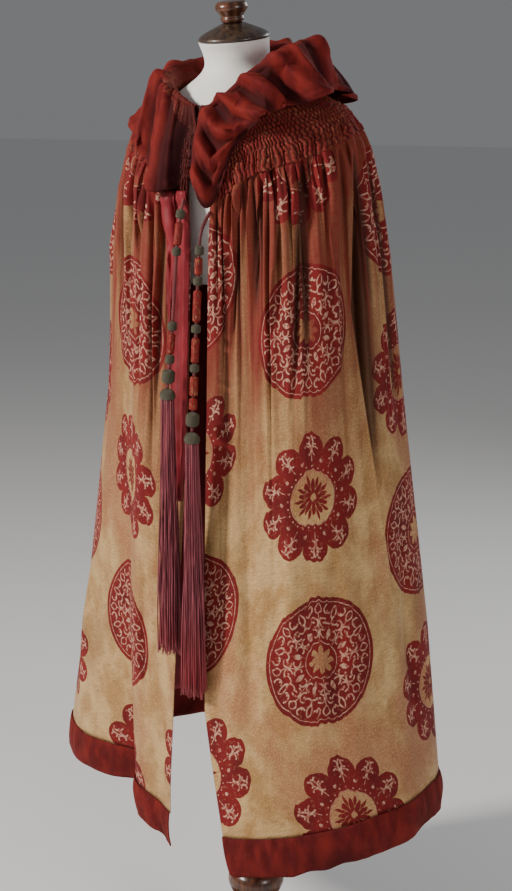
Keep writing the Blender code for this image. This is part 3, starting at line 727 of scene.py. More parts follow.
def times(a, b, clamp=False):
    return calc("MULTIPLY", a, b, clamp=clamp)


def plus(a, b, clamp=False):
    return calc("ADD", a, b, clamp=clamp)


def less(a, b, clamp=False):
    return calc("SUBTRACT", a, b, clamp=clamp)


def soft_step(value, low, high):
    return eased(print_gold, value, low, high)


def tinted(share, one, two):
    return blend_colour(print_gold, share, one, two)


def cloth_noise(across_scale, down_scale, detail, rough):
    return stretched_noise(print_gold, flat_cloth, (across_scale, down_scale, 1.0), detail, rough)


def below(value, limit, soft=0.0006):
    """1 where a value is under a limit, with a soft edge."""
    return calc("DIVIDE", less(limit, value), soft, clamp=True)


def near(value, middle, half):
    return below(calc("ABSOLUTE", less(value, middle)), half)


def any_of(*masks):
    found = masks[0]
    for mask in masks[1:]:
        found = calc("MAXIMUM", found, mask)
    return found


# Roundels in columns, each column dropped half a repeat, a disc and a rosette by turns.
PRINT_SHIFT = 0.16
REPEAT_ACROSS = 0.262
REPEAT_DOWN = 0.268
across = plus(across, PRINT_SHIFT)
column = calc("FLOOR", calc("DIVIDE", across, REPEAT_ACROSS))
dropped = plus(down, times(calc("PINGPONG", column, 1.0), 0.5 * REPEAT_DOWN))
row = calc("FLOOR", calc("DIVIDE", dropped, REPEAT_DOWN))
local_x = less(less(across, times(column, REPEAT_ACROSS)), 0.5 * REPEAT_ACROSS)
local_y = less(less(dropped, times(row, REPEAT_DOWN)), 0.5 * REPEAT_DOWN)
is_disc = calc("PINGPONG", row, 1.0)
out = calc("SQRT", plus(times(local_x, local_x), times(local_y, local_y)))
bearing = calc("ARCTAN2", local_x, local_y)


def place_in(count, shift=0.0):
    """Sideways and outward places in one of so many equal, mirrored parts."""
    part = 2 * math.pi / count
    folded = calc("PINGPONG", plus(bearing, 4 * math.pi + shift), 0.5 * part)
    return times(out, calc("SINE", folded)), times(out, calc("COSINE", folded))


def ring_at(spot, side, forward, radius, half, lean=None):
    """A ring, a dot where half is 0, or an open curl where it leans one way."""
    x, y = spot
    dx, dy = less(x, side), less(y, forward)
    gap = calc("SQRT", plus(times(dx, dx), times(dy, dy)))
    drawn = near(gap, radius, half) if half else below(gap, radius)
    if lean is None:
        return drawn
    kept = plus(times(dx, math.sin(lean)), times(dy, math.cos(lean)))
    return times(drawn, calc("GREATER_THAN", kept, -0.35 * radius))


def leaf_at(spot, low, high, width, half):
    """The outline of a pointed leaf that lies along the spoke, or all of it."""
    x, y = spot
    along = calc("DIVIDE", less(y, low), high - low, clamp=True)
    wide = times(calc("SINE", times(along, math.pi)), width)
    inside = times(calc("GREATER_THAN", along, 0.001), calc("LESS_THAN", along, 0.999))
    drawn = near(x, wide, half) if half else below(less(x, wide), 0.0)
    return times(inside, drawn)


LINE = 0.00165
eight, eight_between = place_in(8), place_in(8, math.pi / 8)
disc_red = below(out, 0.1060)
petals = times(calc("ABSOLUTE", calc("COSINE", times(bearing, 4.0))), 0.012)
disc_gold = below(less(out, petals), 0.012)
disc_pale = any_of(
    near(out, 0.0985, 0.0010),
    near(out, 0.0300, 0.0011),
    times(near(eight[0], 0.0, 0.0010), near(eight[1], 0.0560, 0.0230)),
    ring_at(eight, 0.0082, 0.0450, 0.0066, LINE, -1.4),
    ring_at(eight, 0.0092, 0.0630, 0.0078, LINE, -1.2),
    ring_at(eight, 0.0096, 0.0630, 0.0024, 0.0),
    leaf_at(eight, 0.0760, 0.0940, 0.0062, LINE),
    leaf_at(eight_between, 0.0360, 0.0560, 0.0046, 0.0),
    ring_at(eight_between, 0.0070, 0.0690, 0.0072, LINE, -2.2),
    ring_at(eight_between, 0.0150, 0.0850, 0.0070, LINE, 2.4),
    leaf_at(eight_between, 0.0700, 0.0930, 0.0048, LINE),
    ring_at(eight, 0.0170, 0.0800, 0.0022, 0.0),
)
ten, ten_between, dots = place_in(10), place_in(10, math.pi / 10), place_in(26)
lobes = calc("POWER", calc("ABSOLUTE", calc("COSINE", times(bearing, 5.0))), 0.55)
rose_red = below(less(out, times(lobes, 0.026)), 0.080)
star = times(calc("ABSOLUTE", calc("COSINE", times(bearing, 5.0))), 0.020)
rose_gold = less(below(out, 0.0440), below(less(out, star), 0.010), clamp=True)
rose_gold = less(rose_gold, leaf_at(ten_between, 0.0150, 0.0390, 0.0032, 0.0), clamp=True)
rose_gold = any_of(rose_gold, below(out, 0.0060))
rose_pale = any_of(
    ring_at(dots, 0.0, 0.0500, 0.0018, 0.0),
    leaf_at(ten, 0.0800, 0.0990, 0.0040, LINE),
    times(near(ten[0], 0.0, 0.0010), near(ten[1], 0.0700, 0.0130)),
    ring_at(ten, 0.0078, 0.0760, 0.0070, LINE, -1.0),
    ring_at(ten, 0.0078, 0.0925, 0.0052, LINE, -1.6),
    ring_at(ten_between, 0.0, 0.0620, 0.0034, 0.0),
    near(out, 0.0445, 0.0008),
)
red_share = plus(times(disc_red, is_disc), times(rose_red, less(1.0, is_disc)))
gold_share = plus(times(disc_gold, is_disc), times(rose_gold, less(1.0, is_disc)))
pale_share = plus(times(disc_pale, is_disc), times(rose_pale, less(1.0, is_disc)))

grain = cloth_noise(900.0, 900.0, 2.0, 0.6)
blotch = cloth_noise(17.0, 12.0, 5.0, 0.62)
stain = cloth_noise(4.5, 3.2, 4.0, 0.55)
streak = cloth_noise(52.0, 2.6, 4.0, 0.62)
broad_streak = cloth_noise(11.0, 1.6, 2.0, 0.5)
rubbed = cloth_noise(170.0, 150.0, 3.0, 0.7)
gold = tinted(soft_step(blotch, 0.38, 0.64), (0.790, 0.520, 0.235), (0.500, 0.270, 0.095))
gold = tinted(soft_step(stain, 0.52, 0.72), gold, (0.360, 0.185, 0.070))
flush = cloth_noise(5.2, 2.6, 4.0, 0.6)
flush = times(soft_step(flush, 0.46, 0.62), 0.72)
gold = tinted(flush, gold, (0.430, 0.140, 0.075))
# The gold is rubbed off down to the crimson near the gathers, in streaks.
high_up = soft_step(down, -0.64, -0.08)
worn_red = times(high_up, plus(0.66, times(less(streak, 0.5), 3.0)))
worn_red = plus(worn_red, times(high_up, times(less(broad_streak, 0.5), 3.2)), clamp=True)
worn_red = plus(worn_red, times(soft_step(down, -0.12, -0.02), 0.70), clamp=True)
# Darker brown towards the top of the cloth.
browner_near_top = times(soft_step(down, -0.72, -0.10), 0.64)
gold = tinted(browner_near_top, gold, (0.225, 0.082, 0.030))
gold = tinted(worn_red, gold, (0.225, 0.0200, 0.0170))
gold = tinted(times(soft_step(grain, 0.44, 0.68), 0.50), gold, (0.200, 0.080, 0.028))
slub = cloth_noise(70.0, 620.0, 3.0, 0.6)
glint = cloth_noise(520.0, 260.0, 2.0, 0.6)
gold = tinted(times(soft_step(slub, 0.44, 0.64), 0.42), gold, (0.210, 0.092, 0.034))
# Painted glints: small light specks painted on the gold, fainter where it is rubbed to crimson.
painted_glint = times(soft_step(glint, 0.50, 0.70), less(0.48, times(worn_red, 0.5)), clamp=True)
gold = tinted(painted_glint, gold, (0.800, 0.560, 0.270))
red = tinted(soft_step(blotch, 0.35, 0.7), (0.215, 0.0085, 0.0095), (0.125, 0.0045, 0.0055))
pale = tinted(soft_step(rubbed, 0.42, 0.62), (0.60, 0.34, 0.24), (0.33, 0.075, 0.055))
wear = less(1.0, times(soft_step(rubbed, 0.58, 0.72), 0.55))
colour = tinted(times(red_share, wear), gold, red)
colour = tinted(times(gold_share, wear), colour, gold)
colour = tinted(times(pale_share, wear), colour, pale)
# Painted shade: the print is darkened towards near black in the valleys of the folds, by the shade
# attribute.
in_shade = times(less(1.0, soft_step(shade_of(print_gold), 0.0, 0.62)), 0.78)
colour = tinted(in_shade, colour, (0.050, 0.012, 0.006))
coloured(print_gold, shader, colour)
links = print_gold.node_tree.links
plain_gold = less(1.0, any_of(red_share, worn_red), clamp=True)
links.new(times(plain_gold, 0.26), shader.inputs["Metallic"])
links.new(plus(0.46, times(any_of(red_share, worn_red), 0.34)), shader.inputs["Roughness"])
WEAVE_PITCH = 0.0011
warp = calc("SINE", times(across, 2 * math.pi / WEAVE_PITCH))
weft = calc("SINE", times(down, 2 * math.pi / WEAVE_PITCH))
weave = plus(times(times(warp, weft), 0.18), plus(times(grain, 0.5), times(red_share, 0.25)))
crumple = cloth_noise(38.0, 26.0, 4.0, 0.6)
weave = plus(times(weave, 0.13), crumple)
raised(print_gold, shader, weave, 0.0022)

# The cloth's reverse is faced with plain rose silk, which shows where it turns out.
ROSE_TINT = (1.0, 0.4, 0.4)
rose, shader = new_material("rose_silk", (0.40, 0.045, 0.065), 0.50, sheen=0.04, tint=ROSE_TINT, gloss=0.3)
places = object_places(rose)
faded = eased(rose, stretched_noise(rose, places, (30.0, 30.0, 7.0), 4.0), 0.35, 0.68)
coloured(rose, shader, blend_colour(rose, faded, (0.175, 0.009, 0.015), (0.300, 0.022, 0.033)))
raised(rose, shader, stretched_noise(rose, places, (900.0, 900.0, 160.0), 2.0), 0.00025)

# The smallest folds take up some of the cloth too, so the print looks squeezed sideways.
FULLNESS = 1.12
OFF_FORM = 0.0022
# Painted shade on the cloth: without relief it is painted this light, relief this deep paints it
# fully light or dark, and the painted shade fades out below this height.
PLAIN_LIGHT = 0.72
FULL_RELIEF = 0.011
SHADE_FOOT = 0.72
body_sizes = {
    # name: columns, rows
    "front_left": (250, 132),
    "back_left": (200, 96),
    "back_right": (200, 96),
    "front_right": (250, 132),
}
bodies = {}
for name, start, end in PANELS:
    columns, rows = body_sizes[name]
    share, _ = panel_shares(start, end, rows, columns)
    _, top, hem = levels_at(share)
    step = (np.linspace(0.0, 1.0, rows) ** 1.15)[:, None]
    height = (top + 0.0015) + (hem + BAND_DEPTH - 0.004 - top) * step
    angle = angle_at(share, height)
    plain = cape_place(angle, height)
    out_way = facing_out(plain)
    relief = crease_depth(angle, height) + fine_gathers(share, height, top)
    points = held_off_form(plain + out_way * (CLOTH_OUT + relief)[..., None], OFF_FORM)
    inner = plain + out_way * (CLOTH_OUT + relief - CLOTH_THICK)[..., None]
    inner = held_off_form(inner, OFF_FORM - CLOTH_THICK)
    flat = panel_flat(share, points, 0.0, FULLNESS)
    # Painted shade: the shade attribute paints the valleys of the creases and gathers darker.
    shown = ease((height - SHADE_FOOT) / 0.34)
    lit = np.clip(PLAIN_LIGHT + relief / FULL_RELIEF * shown, 0.0, 1.0)
    bodies[name] = cloth_object("cloth_" + name, points, flat, print_gold, None, lit, rose, inner)
    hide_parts("body_" + name)
    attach(bodies[name], "root")


# The velvet band round the hem: cut across the grain, folded over the cloth's edge
# and sewn down along its top, so that it rolls and puckers a little.
PILE_TINT = (1.0, 0.16, 0.08)
velvet, shader = new_material("crimson_velvet", (0.16, 0.01, 0.01), 0.82, 0.0, 0.16, PILE_TINT, 0.2)
shader.inputs["Sheen Roughness"].default_value = 0.34
places = object_places(velvet)
crushed = stretched_noise(velvet, places, (42.0, 42.0, 20.0), 4.0, 0.62)
worn_pile = stretched_noise(velvet, places, (90.0, 90.0, 60.0), 3.0, 0.6)
nap = eased(velvet, crushed, 0.34, 0.68)
nap = blend_colour(velvet, nap, (0.118, 0.0080, 0.0085), (0.215, 0.0175, 0.0135))
pile = sum_of(velvet, "MULTIPLY", eased(velvet, worn_pile, 0.55, 0.75), 0.35)
nap = blend_colour(velvet, pile, nap, (0.235, 0.036, 0.024))
# Painted shade: the velvet is painted darker in the valleys of its folds and puckers, by the shade
# attribute.
nap = blend_colour(velvet, eased(velvet, shade_of(velvet), 0.0, 0.9), (0.030, 0.0030, 0.0040), nap)
coloured(velvet, shader, nap)
raised(velvet, shader, stretched_noise(velvet, places, (1500.0, 1500.0, 1500.0), 2.0), 0.00035)

BAND_ROLL = 0.0045
BAND_THICK = 0.0018
for name, start, end in PANELS:
    columns, rows = body_sizes[name][0], 14
    share, calm = panel_shares(start, end, rows, columns)
    _, _, hem = levels_at(share)
    step = np.linspace(0.0, 1.0, rows)[:, None]
    height = hem + BAND_DEPTH * (1.0 - step)
    angle = angle_at(share, height)
    plain = cape_place(angle, height)
    out_way = facing_out(plain)
    wavy = soft_random(share.shape, 2, int(150 * (end - start)), 31) * calm
    broad = soft_random(share.shape, 1, int(46 * (end - start)), 32) * calm
    pucker = 0.0016 * wavy * (1.0 - 0.5 * step) + 0.0024 * broad * ease(step * 2.0)
    swell = BAND_ROLL * np.sin(math.pi * np.clip(0.16 + step * 0.90, 0.0, 1.0)) ** 0.7
    creased = crease_depth(angle, np.maximum(height, 0.30))
    lift = CLOTH_OUT + swell + pucker + creased
    points = plain + out_way * lift[..., None]
    points[..., 2] += 0.0034 * soft_random(share.shape, 1, int(60 * (end - start)), 33) * step * calm
    flat = panel_flat(share, points, 1.15)
    # Painted shade on the hem band: darker in the valleys of the puckers and creases.
    lit = np.clip(0.66 + (pucker + 0.5 * creased) / FULL_RELIEF, 0.0, 1.0)
    band = cloth_object("velvet_hem_" + name, points, flat, velvet, BAND_THICK, lit)
    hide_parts("hem_band_" + name)
    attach(band, "root")


# The shirring round the shoulders: the top of the same cloth, drawn up on rows of
# stitches so that it stands in close small gathers, crimson with the gold rubbed.
SHIRR_TINT = (1.0, 0.4, 0.3)
shirring, shader = new_material("shirred_silk", (0.14, 0.024, 0.016), 0.74, 0.0, 0.12, SHIRR_TINT, 0.2)
in_light = shade_of(shirring)
places = object_places(shirring)
fleck = stretched_noise(shirring, places, (380.0, 380.0, 240.0), 3.0, 0.65)
patch = stretched_noise(shirring, places, (24.0, 24.0, 18.0), 3.0, 0.6)
# Painted shade: the gathers are painted dark in their valleys and light on their ridges by the shade
# attribute, and the rubbed gold shows only on the ridges.
rub = sum_of(shirring, "MULTIPLY", in_light, eased(shirring, fleck, 0.45, 0.65))
rub = sum_of(shirring, "MULTIPLY", rub, eased(shirring, patch, 0.34, 0.66))
base = blend_colour(shirring, in_light, (0.042, 0.0040, 0.0045), (0.215, 0.0180, 0.0150))
base = blend_colour(shirring, rub, base, (0.285, 0.105, 0.050))
coloured(shirring, shader, base)
raised(shirring, shader, fleck, 0.0004)

STITCH_ROWS = 16
SHIRR_GATHERS = 160
SHIRR_THICK = 0.0008
for name, start, end in PANELS:
    columns = int(SHIRR_GATHERS * 6 * (end - start)) + 1
    rows = STITCH_ROWS * 3 + 1
    share, calm = panel_shares(start, end, rows, columns)
    step = np.linspace(0.0, 1.0, rows)[:, None]
    top, low, _ = levels_at(share)
    height = top + (low - 0.0005 - top) * step
    angle = angle_at(share, height)
    gathered = ease(step * 2.0 - 1.0)[..., None]
    plain = cape_place(angle, height, False) * (1.0 - gathered) + cape_place(angle, height) * gathered
    out_way = facing_out(plain)
    wobble = soft_random(share.shape, STITCH_ROWS, int(70 * (end - start)), 41) * calm
    uneven_size = soft_random(share.shape, 2 * STITCH_ROWS, int(136 * (end - start)), 42) * calm
    sway = soft_random(share.shape, 5, int(24 * (end - start)), 43) * calm
    stitch = step * STITCH_ROWS + 0.28 * wobble
    broken = ease((1.0 - step) * 1.6)
    turns = SHIRR_GATHERS * share + 0.5 * broken * (np.floor(stitch) % 2) + 0.34 * wobble + 0.9 * sway
    ridge = 0.5 - 0.5 * rounded_ridges(turns)
    dip = (0.72 - 0.42 * ease(step * 1.4 - 0.4)) * (1.0 + 0.35 * wobble)
    puff = 1.0 - dip * (1.0 - np.abs(np.sin(math.pi * stitch)) ** 0.8)
    size = 0.0020 + 0.0028 * ease(step * 1.3) - 0.0016 * ease(step * 6.0 - 5.0)
    depth = size * ridge * puff * (1.0 + 0.45 * uneven_size)
    points = plain + out_way * (0.0012 + depth)[..., None]
    flat = panel_flat(share, points, -0.11)
    # Painted shade: dark in the valleys of the gathers and between the stitch rows, with a painted shadow
    # near the wearer's right front edge.
    shade = np.clip(1.15 * ridge * (0.25 + 0.75 * puff) * (1.0 + 0.35 * uneven_size), 0.0, 1.0)
    shade = shade * (1.0 - 0.75 * ease((share - 0.962) / 0.020))
    band = cloth_object("shirring_" + name, points, flat, shirring, SHIRR_THICK, shade)
    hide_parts("yoke_" + name)
    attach(band, "root")


# The collar: one wide piece of velvet, drawn up round the neck and rolled over so
# that it falls on the shirring. It lies in soft folds and ends in a tab each side.
COLLAR = (
    # angle, rise, reach, fall_out, fall_down
    (-5, 0.008, 0.012, 0.026, 0.088),
    (-10, 0.010, 0.014, 0.030, 0.118),
    (-24, 0.014, 0.020, 0.046, 0.145),
    (-37, 0.018, 0.024, 0.054, 0.142),
    (-46, 0.020, 0.026, 0.056, 0.108),
    (-60, 0.021, 0.026, 0.056, 0.098),
    (-75, 0.022, 0.026, 0.056, 0.090),
    (-110, 0.032, 0.030, 0.058, 0.072),
    (-150, 0.044, 0.036, 0.064, 0.068),
    (180, 0.052, 0.042, 0.072, 0.074),
    (150, 0.042, 0.042, 0.088, 0.078),
    (130, 0.038, 0.042, 0.102, 0.072),
    (110, 0.047, 0.042, 0.080, 0.061),
    (90, 0.056, 0.044, 0.070, 0.066),
    (75, 0.060, 0.044, 0.070, 0.072),
    (60, 0.055, 0.040, 0.064, 0.076),
    (45, 0.041, 0.034, 0.050, 0.064),
    (35, 0.032, 0.028, 0.042, 0.068),
    (28, 0.024, 0.024, 0.038, 0.082),
    (20, 0.016, 0.020, 0.038, 0.112),
    (11, 0.010, 0.014, 0.036, 0.166),
    (0, 0.009, 0.012, 0.028, 0.086),
)
# Soft folds on the collar: each runs from one place to another on its section,
# 0 at the neck seam and 1 at the free edge.
COLLAR_FOLDS = (
    # angle_start, place_start, angle_end, place_end, width, depth
    (44, 0.42, 74, 1.02, 0.050, 0.0085),
    (36, 0.44, 64, 1.02, 0.040, -0.0090),
    (27, 0.44, 56, 1.00, 0.038, 0.0090),
    (18, 0.42, 47, 0.98, 0.034, -0.0090),
    (9, 0.42, 42, 0.96, 0.034, 0.0085),
    (2, 0.46, 36, 0.99, 0.032, -0.0085),
    (0, 0.56, 33, 0.93, 0.034, 0.0090),
    (0, 0.66, 30, 0.97, 0.030, -0.0080),
    (0, 0.75, 27, 0.92, 0.034, 0.0085),
    (0, 0.84, 24, 0.98, 0.030, -0.0070),
    (0, 0.92, 20, 0.92, 0.034, 0.0070),
    (3, 1.00, 17, 0.98, 0.028, -0.0050),
    (76, 0.44, 84, 1.00, 0.050, -0.0070),
    (88, 0.42, 92, 1.00, 0.070, 0.0080),
    (104, 0.40, 108, 1.00, 0.060, -0.0090),
    (120, 0.40, 124, 1.00, 0.070, 0.0060),
    (142, 0.42, 150, 1.00, 0.080, -0.0080),
    (168, 0.40, 176, 1.00, 0.070, 0.0080),
    (196, 0.42, 200, 1.00, 0.080, -0.0080),
    (222, 0.40, 226, 1.00, 0.070, 0.0070),
    (250, 0.40, 256, 1.00, 0.070, -0.0080),
    (276, 0.42, 284, 1.00, 0.060, 0.0075),
    (292, 0.42, 298, 1.00, 0.045, -0.0075),
    (304, 0.40, 310, 1.00, 0.045, 0.0075),
    (315, 0.42, 321, 1.00, 0.038, -0.0075),
    (325, 0.44, 331, 1.00, 0.038, 0.0065),
    (334, 0.44, 340, 1.00, 0.038, -0.0070),
    (346, 0.44, 349, 1.00, 0.055, -0.0090),
    (30, 0.52, 52, 1.00, 0.015, -0.0050),
    (22, 0.50, 44, 1.00, 0.015, 0.0045),
    (12, 0.52, 38, 0.98, 0.014, -0.0050),
    (4, 0.55, 34, 0.97, 0.014, 0.0045),
    (2, 0.62, 30, 0.95, 0.014, -0.0045),
    (2, 0.71, 28, 0.96, 0.014, 0.0040),
    (2, 0.80, 25, 0.95, 0.014, -0.0040),
    (60, 0.46, 74, 0.96, 0.018, 0.0045),
    (312, 0.46, 316, 0.98, 0.014, -0.0040),
    (329, 0.46, 335, 0.98, 0.014, 0.0040),
    (339, 0.50, 343, 0.98, 0.012, 0.0040),
)
COLLAR_THICK = 0.0024
COLLAR_CLEARANCE = 0.0073
LAST_ANGLE = 355.0
FOLD_STRENGTH = 1.9
# The table's values are evened out over so many columns each side.
SPAN = 24
EVENNESS = 3.4
columns, rows = 424, 86
table = [((a + 360.0) if a < 0 else float(a), *rest) for a, *rest in COLLAR]
angle = np.linspace(0.0, LAST_ANGLE, columns)
soft = np.exp(-0.5 * (np.arange(-SPAN, SPAN + 1) / EVENNESS) ** 2)
soft /= soft.sum()
rise, reach, fall_out, fall_down = (
    np.convolve(np.pad(read(table, k, angle), SPAN, mode="edge"), soft, "valid") for k in (1, 2, 3, 4)
)
seam_height = read(LEVELS, 1, wrapped(angle))
wave = 0.006 * np.sin(np.radians(angle) * 11.0) + 0.004 * np.sin(np.radians(angle) * 17.0 + 1.0)
# The section at each angle: how far out and up it has come, from the seam to the edge.
section = (
    (0 * rise, 0.0022 + 0 * rise),
    (0 * rise - 0.004, 0.45 * rise),
    (0 * rise, 0.85 * rise),
    (0.28 * reach, rise + 0.009),
    (0.66 * reach, rise + 0.011),
    (reach, rise + 0.002),
    (reach + 0.35 * (fall_out - reach) + wave, rise - 0.30 * fall_down),
    (reach + 0.75 * (fall_out - reach) + wave * 1.6, rise - 0.68 * fall_down),
    (fall_out + wave * 2.0, rise - fall_down),
)
section = np.array(section)
steps = len(section) - 1
fine = np.linspace(0.0, 1.0, rows)
slope = np.gradient(section, np.linspace(0.0, 1.0, steps + 1), axis=0)
near_knot = np.clip((fine * steps).astype(int), 0, steps - 1)
t = (fine * steps - near_knot)[:, None, None]
h = 1.0 / steps
bent = (
    (2 * t**3 - 3 * t**2 + 1) * section[near_knot]
    + (t**3 - 2 * t**2 + t) * h * slope[near_knot]
    + (-2 * t**3 + 3 * t**2) * section[near_knot + 1]
    + (t**3 - t**2) * h * slope[near_knot + 1]
)
out_by, up_by = bent[:, 0], bent[:, 1]
seam = cape_place(angle, seam_height, False)
radial = np.stack([np.sin(np.radians(angle)), -np.cos(np.radians(angle)), 0 * angle], axis=-1)
points = seam[None] + radial[None] * out_by[..., None]
points[..., 2] += up_by


def clear_of_cape(points, clearance):
    """Points moved out where they would lie in the shirring or the cloth."""

    def least(angle, height):
        angle = angle % 360.0
        return np.maximum(*(cape_radius(angle, height, folds) for folds in (False, True))) + clearance

    return moved_out(points, read(CAPE, 6, points[..., 2]), least)


place = fine[:, None]
falls = ease((place - 0.60) * 12.0)[..., None]
points = points * (1.0 - falls) + clear_of_cape(points, COLLAR_CLEARANCE) * falls
fold = np.zeros((rows, columns))
for a0, p0, a1, p1, width, depth in COLLAR_FOLDS:
    run = np.array([(a1 - a0) / 100.0, p1 - p0])
    long = np.hypot(*run)
    dx, dy = (angle[None] - a0) / 100.0, place - p0
    along = (dx * run[0] + dy * run[1]) / long**2
    off = np.abs((dx * run[1] - dy * run[0]) / long / width)
    sharp = 1.15 if depth > 0.0 else 1.7
    fold += FOLD_STRENGTH * depth * np.exp(-off**sharp) * ease(along * 3.0) * ease((1.25 - along) * 4.0)
# The free edge is rolled, and the velvet is a little uneven all over.
fold += 0.0030 * bell(place, 0.968, 0.018)
fold += 0.0018 * soft_random(fold.shape, 9, 46, 51) + 0.0008 * soft_random(fold.shape, 22, 120, 52)
low = -0.0062 - 0.0080 * ease((0.62 - place) * 8.0)
fold = np.maximum(fold, low) * ease((place - 0.22) * 5.0)
points = points + facing_out(points) * fold[..., None]
# On the wearer's right the collar's upper part is shirred cloth, and velvet below it.
from_front = LAST_ANGLE - angle[None, :]
shirr_end = 0.80 - 0.45 * np.clip(from_front / 70.0, 0.0, 1.4)
shirred = ease((shirr_end - place) * 14.0) * ease((118.0 - from_front) / 16.0)
fine_ridge = 0.5 - 0.5 * rounded_ridges(angle[None, :] / 2.6 + 0.5 * soft_random(fold.shape, 14, 60, 53))
points = points + facing_out(points) * (0.0024 * shirred * (fine_ridge - 0.5))[..., None]
# Painted shade: darker in the valleys of the folds, lighter on their ridges and on the rolled edge, dark
# between the fine shirred ridges, with a painted shadow on the inner side near the wearer's right front
# edge.
lit = np.clip(0.55 + fold / 0.018, 0.0, 1.0)
painted_inner_shadow = bell(from_front, 5.0, 8.0) * ease((place - 0.40) * 6.0)
shade = (lit * (1.0 - shirred) + shirred * (0.05 + 0.60 * fine_ridge)) * (1.0 - 0.80 * painted_inner_shadow)
collar_flat = panel_flat(np.tile(np.linspace(0, 1, columns), (rows, 1)), points, 0.0)
points = held_off_form(points + facing_out(points) * 0.0012, 0.003)
collar = cloth_object("velvet_collar", points, collar_flat, velvet, COLLAR_THICK, shade)
collar.data.materials.append(shirring)
for face in collar.data.polygons:
    k = face.vertices[0] % (rows * columns)
    if shirred[k // columns, k % columns] > 0.5:
        face.material_index = 1
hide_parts("collar")
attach(collar, "root")


# The silk facing of the wearer's right front, turned out along the edge so that its
# rose side shows, narrower lower down.
FACING_THICK = 0.0010
FACING_TOP, FACING_LOW = 1.303, 0.800
columns, rows = 34, 104
drop = np.linspace(0.0, 1.0, rows)[:, None]
height = np.repeat(FACING_TOP + (FACING_LOW - FACING_TOP) * drop, columns, axis=1)
wide = 20.5 - 7.0 * ease(drop * 2.2 - 0.6) - 8.0 * ease(drop * 2.4 - 1.4)
inward = np.linspace(1.0, 0.0, columns)[None, :]
angle = 360.0 + read(FRONT_EDGES, 1, height) - wide * inward
plain = cape_place(angle, height)
out_way = facing_out(plain)
folded = 0.0046 * bell(inward, 0.15, 0.13) + 0.0040 * bell(inward, 0.66, 0.22)
all_round = 360.0 + read(FRONT_EDGES, 1, height) - read(FRONT_EDGES, 2, height)
right_share = 1.0 - wide * inward / all_round
under = crease_depth(angle, height) + fine_gathers(right_share, height, read(LEVELS, 2, wrapped(angle)))
under = under + 0.0048 * ease((height - 1.279) / 0.012)
lift = CLOTH_OUT + 0.0014 + under + folded + 0.0005 * np.sin(height * 160 + inward * 5)
points = plain + out_way * lift[..., None]
flat = panel_flat(inward + 0 * height, points, 0.0)
facing = cloth_object("silk_facing", points, flat, rose, FACING_THICK)
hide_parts("facing_right")
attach(facing, "root")


# The knots on the ties: each a ball of thread wound round and round over the cord,
# grey-green where the metal in it has tarnished. The last on each tie is the biggest.
thread, shader = new_material("tarnished_thread", (0.13, 0.12, 0.08), 0.62, metallic=0.25)
places = object_places(thread)
wound = {"Vector": places, "Scale": 260.0, "Distortion": 2.5, "Detail": 2.0}
wound = add_node(thread, "ShaderNodeTexWave", wound, wave_type="BANDS", bands_direction="DIAGONAL")
green = blend_colour(thread, wound.outputs["Fac"], (0.022, 0.020, 0.014), (0.215, 0.190, 0.125))
coloured(thread, shader, green)
raised(thread, shader, wound.outputs["Fac"], 0.0010)

padded, shader = new_material("gold_striped_silk", (0.42, 0.04, 0.02), 0.55, gloss=0.3)
places = object_places(padded)
stripe = stretched_noise(padded, places, (420.0, 420.0, 110.0), 3.0, 0.6)
faded = eased(padded, stretched_noise(padded, places, (300.0, 300.0, 90.0)), 0.35, 0.65)
base = blend_colour(padded, faded, (0.150, 0.006, 0.005), (0.260, 0.0115, 0.008))
base = blend_colour(padded, eased(padded, stripe, 0.57, 0.66), base, (0.34, 0.17, 0.075))
coloured(padded, shader, base)
raised(padded, shader, stretched_noise(padded, places, (1200.0, 1200.0, 300.0)), 0.0004)

# How square the ends of a knot and of a padded length are, and a length's turns apart.
KNOT_BLUNT = 3.4
PAD_BLUNT = 9.0
PAD_TURN = 0.0042
BEADS = {
    "right": (
        # name, height, half_length, radius
        ("knot_right_1", 1.268, 0.0080, 0.0078),
        ("pad_right_1", 1.238, 0.0190, 0.0068),
        ("knot_right_2", 1.210, 0.0075, 0.0076),
        ("knot_right_3", 1.092, 0.0080, 0.0078),
        ("pad_right_2", 1.064, 0.0170, 0.0066),
        ("knot_right_4", 1.038, 0.0080, 0.0078),
        ("knot_right_5", 1.010, 0.0120, 0.0110),
    ),
    "left": (
        ("knot_left_1", 1.214, 0.0080, 0.0078),
        ("pad_left_1", 1.190, 0.0140, 0.0066),
        ("knot_left_2", 1.167, 0.0075, 0.0076),
        ("pad_left_2", 1.127, 0.0260, 0.0068),
        ("knot_left_3", 1.092, 0.0075, 0.0080),
        ("pad_left_3", 1.058, 0.0210, 0.0066),
        ("knot_left_4", 1.028, 0.0075, 0.0078),
        ("pad_left_4", 1.000, 0.0165, 0.0072),
        ("pad_left_5", 0.971, 0.0100, 0.0070),
        ("knot_left_5", 0.946, 0.0125, 0.0112),
    ),
}


def globe(name, segments, rings, size, paint):
    """A globe pulled to a size, at the origin."""
    bpy.ops.object.select_all(action="DESELECT")
    bpy.ops.mesh.primitive_uv_sphere_add(segments=segments, ring_count=rings, radius=1.0)
    made = bpy.context.object
    made.name = name
    bpy.ops.object.mode_set(mode="EDIT")
    bpy.ops.mesh.select_all(action="SELECT")
    bpy.ops.transform.resize(value=size)
    bpy.ops.object.mode_set(mode="OBJECT")
    made.data.materials.append(paint)
    made.data.shade_smooth()
    return made


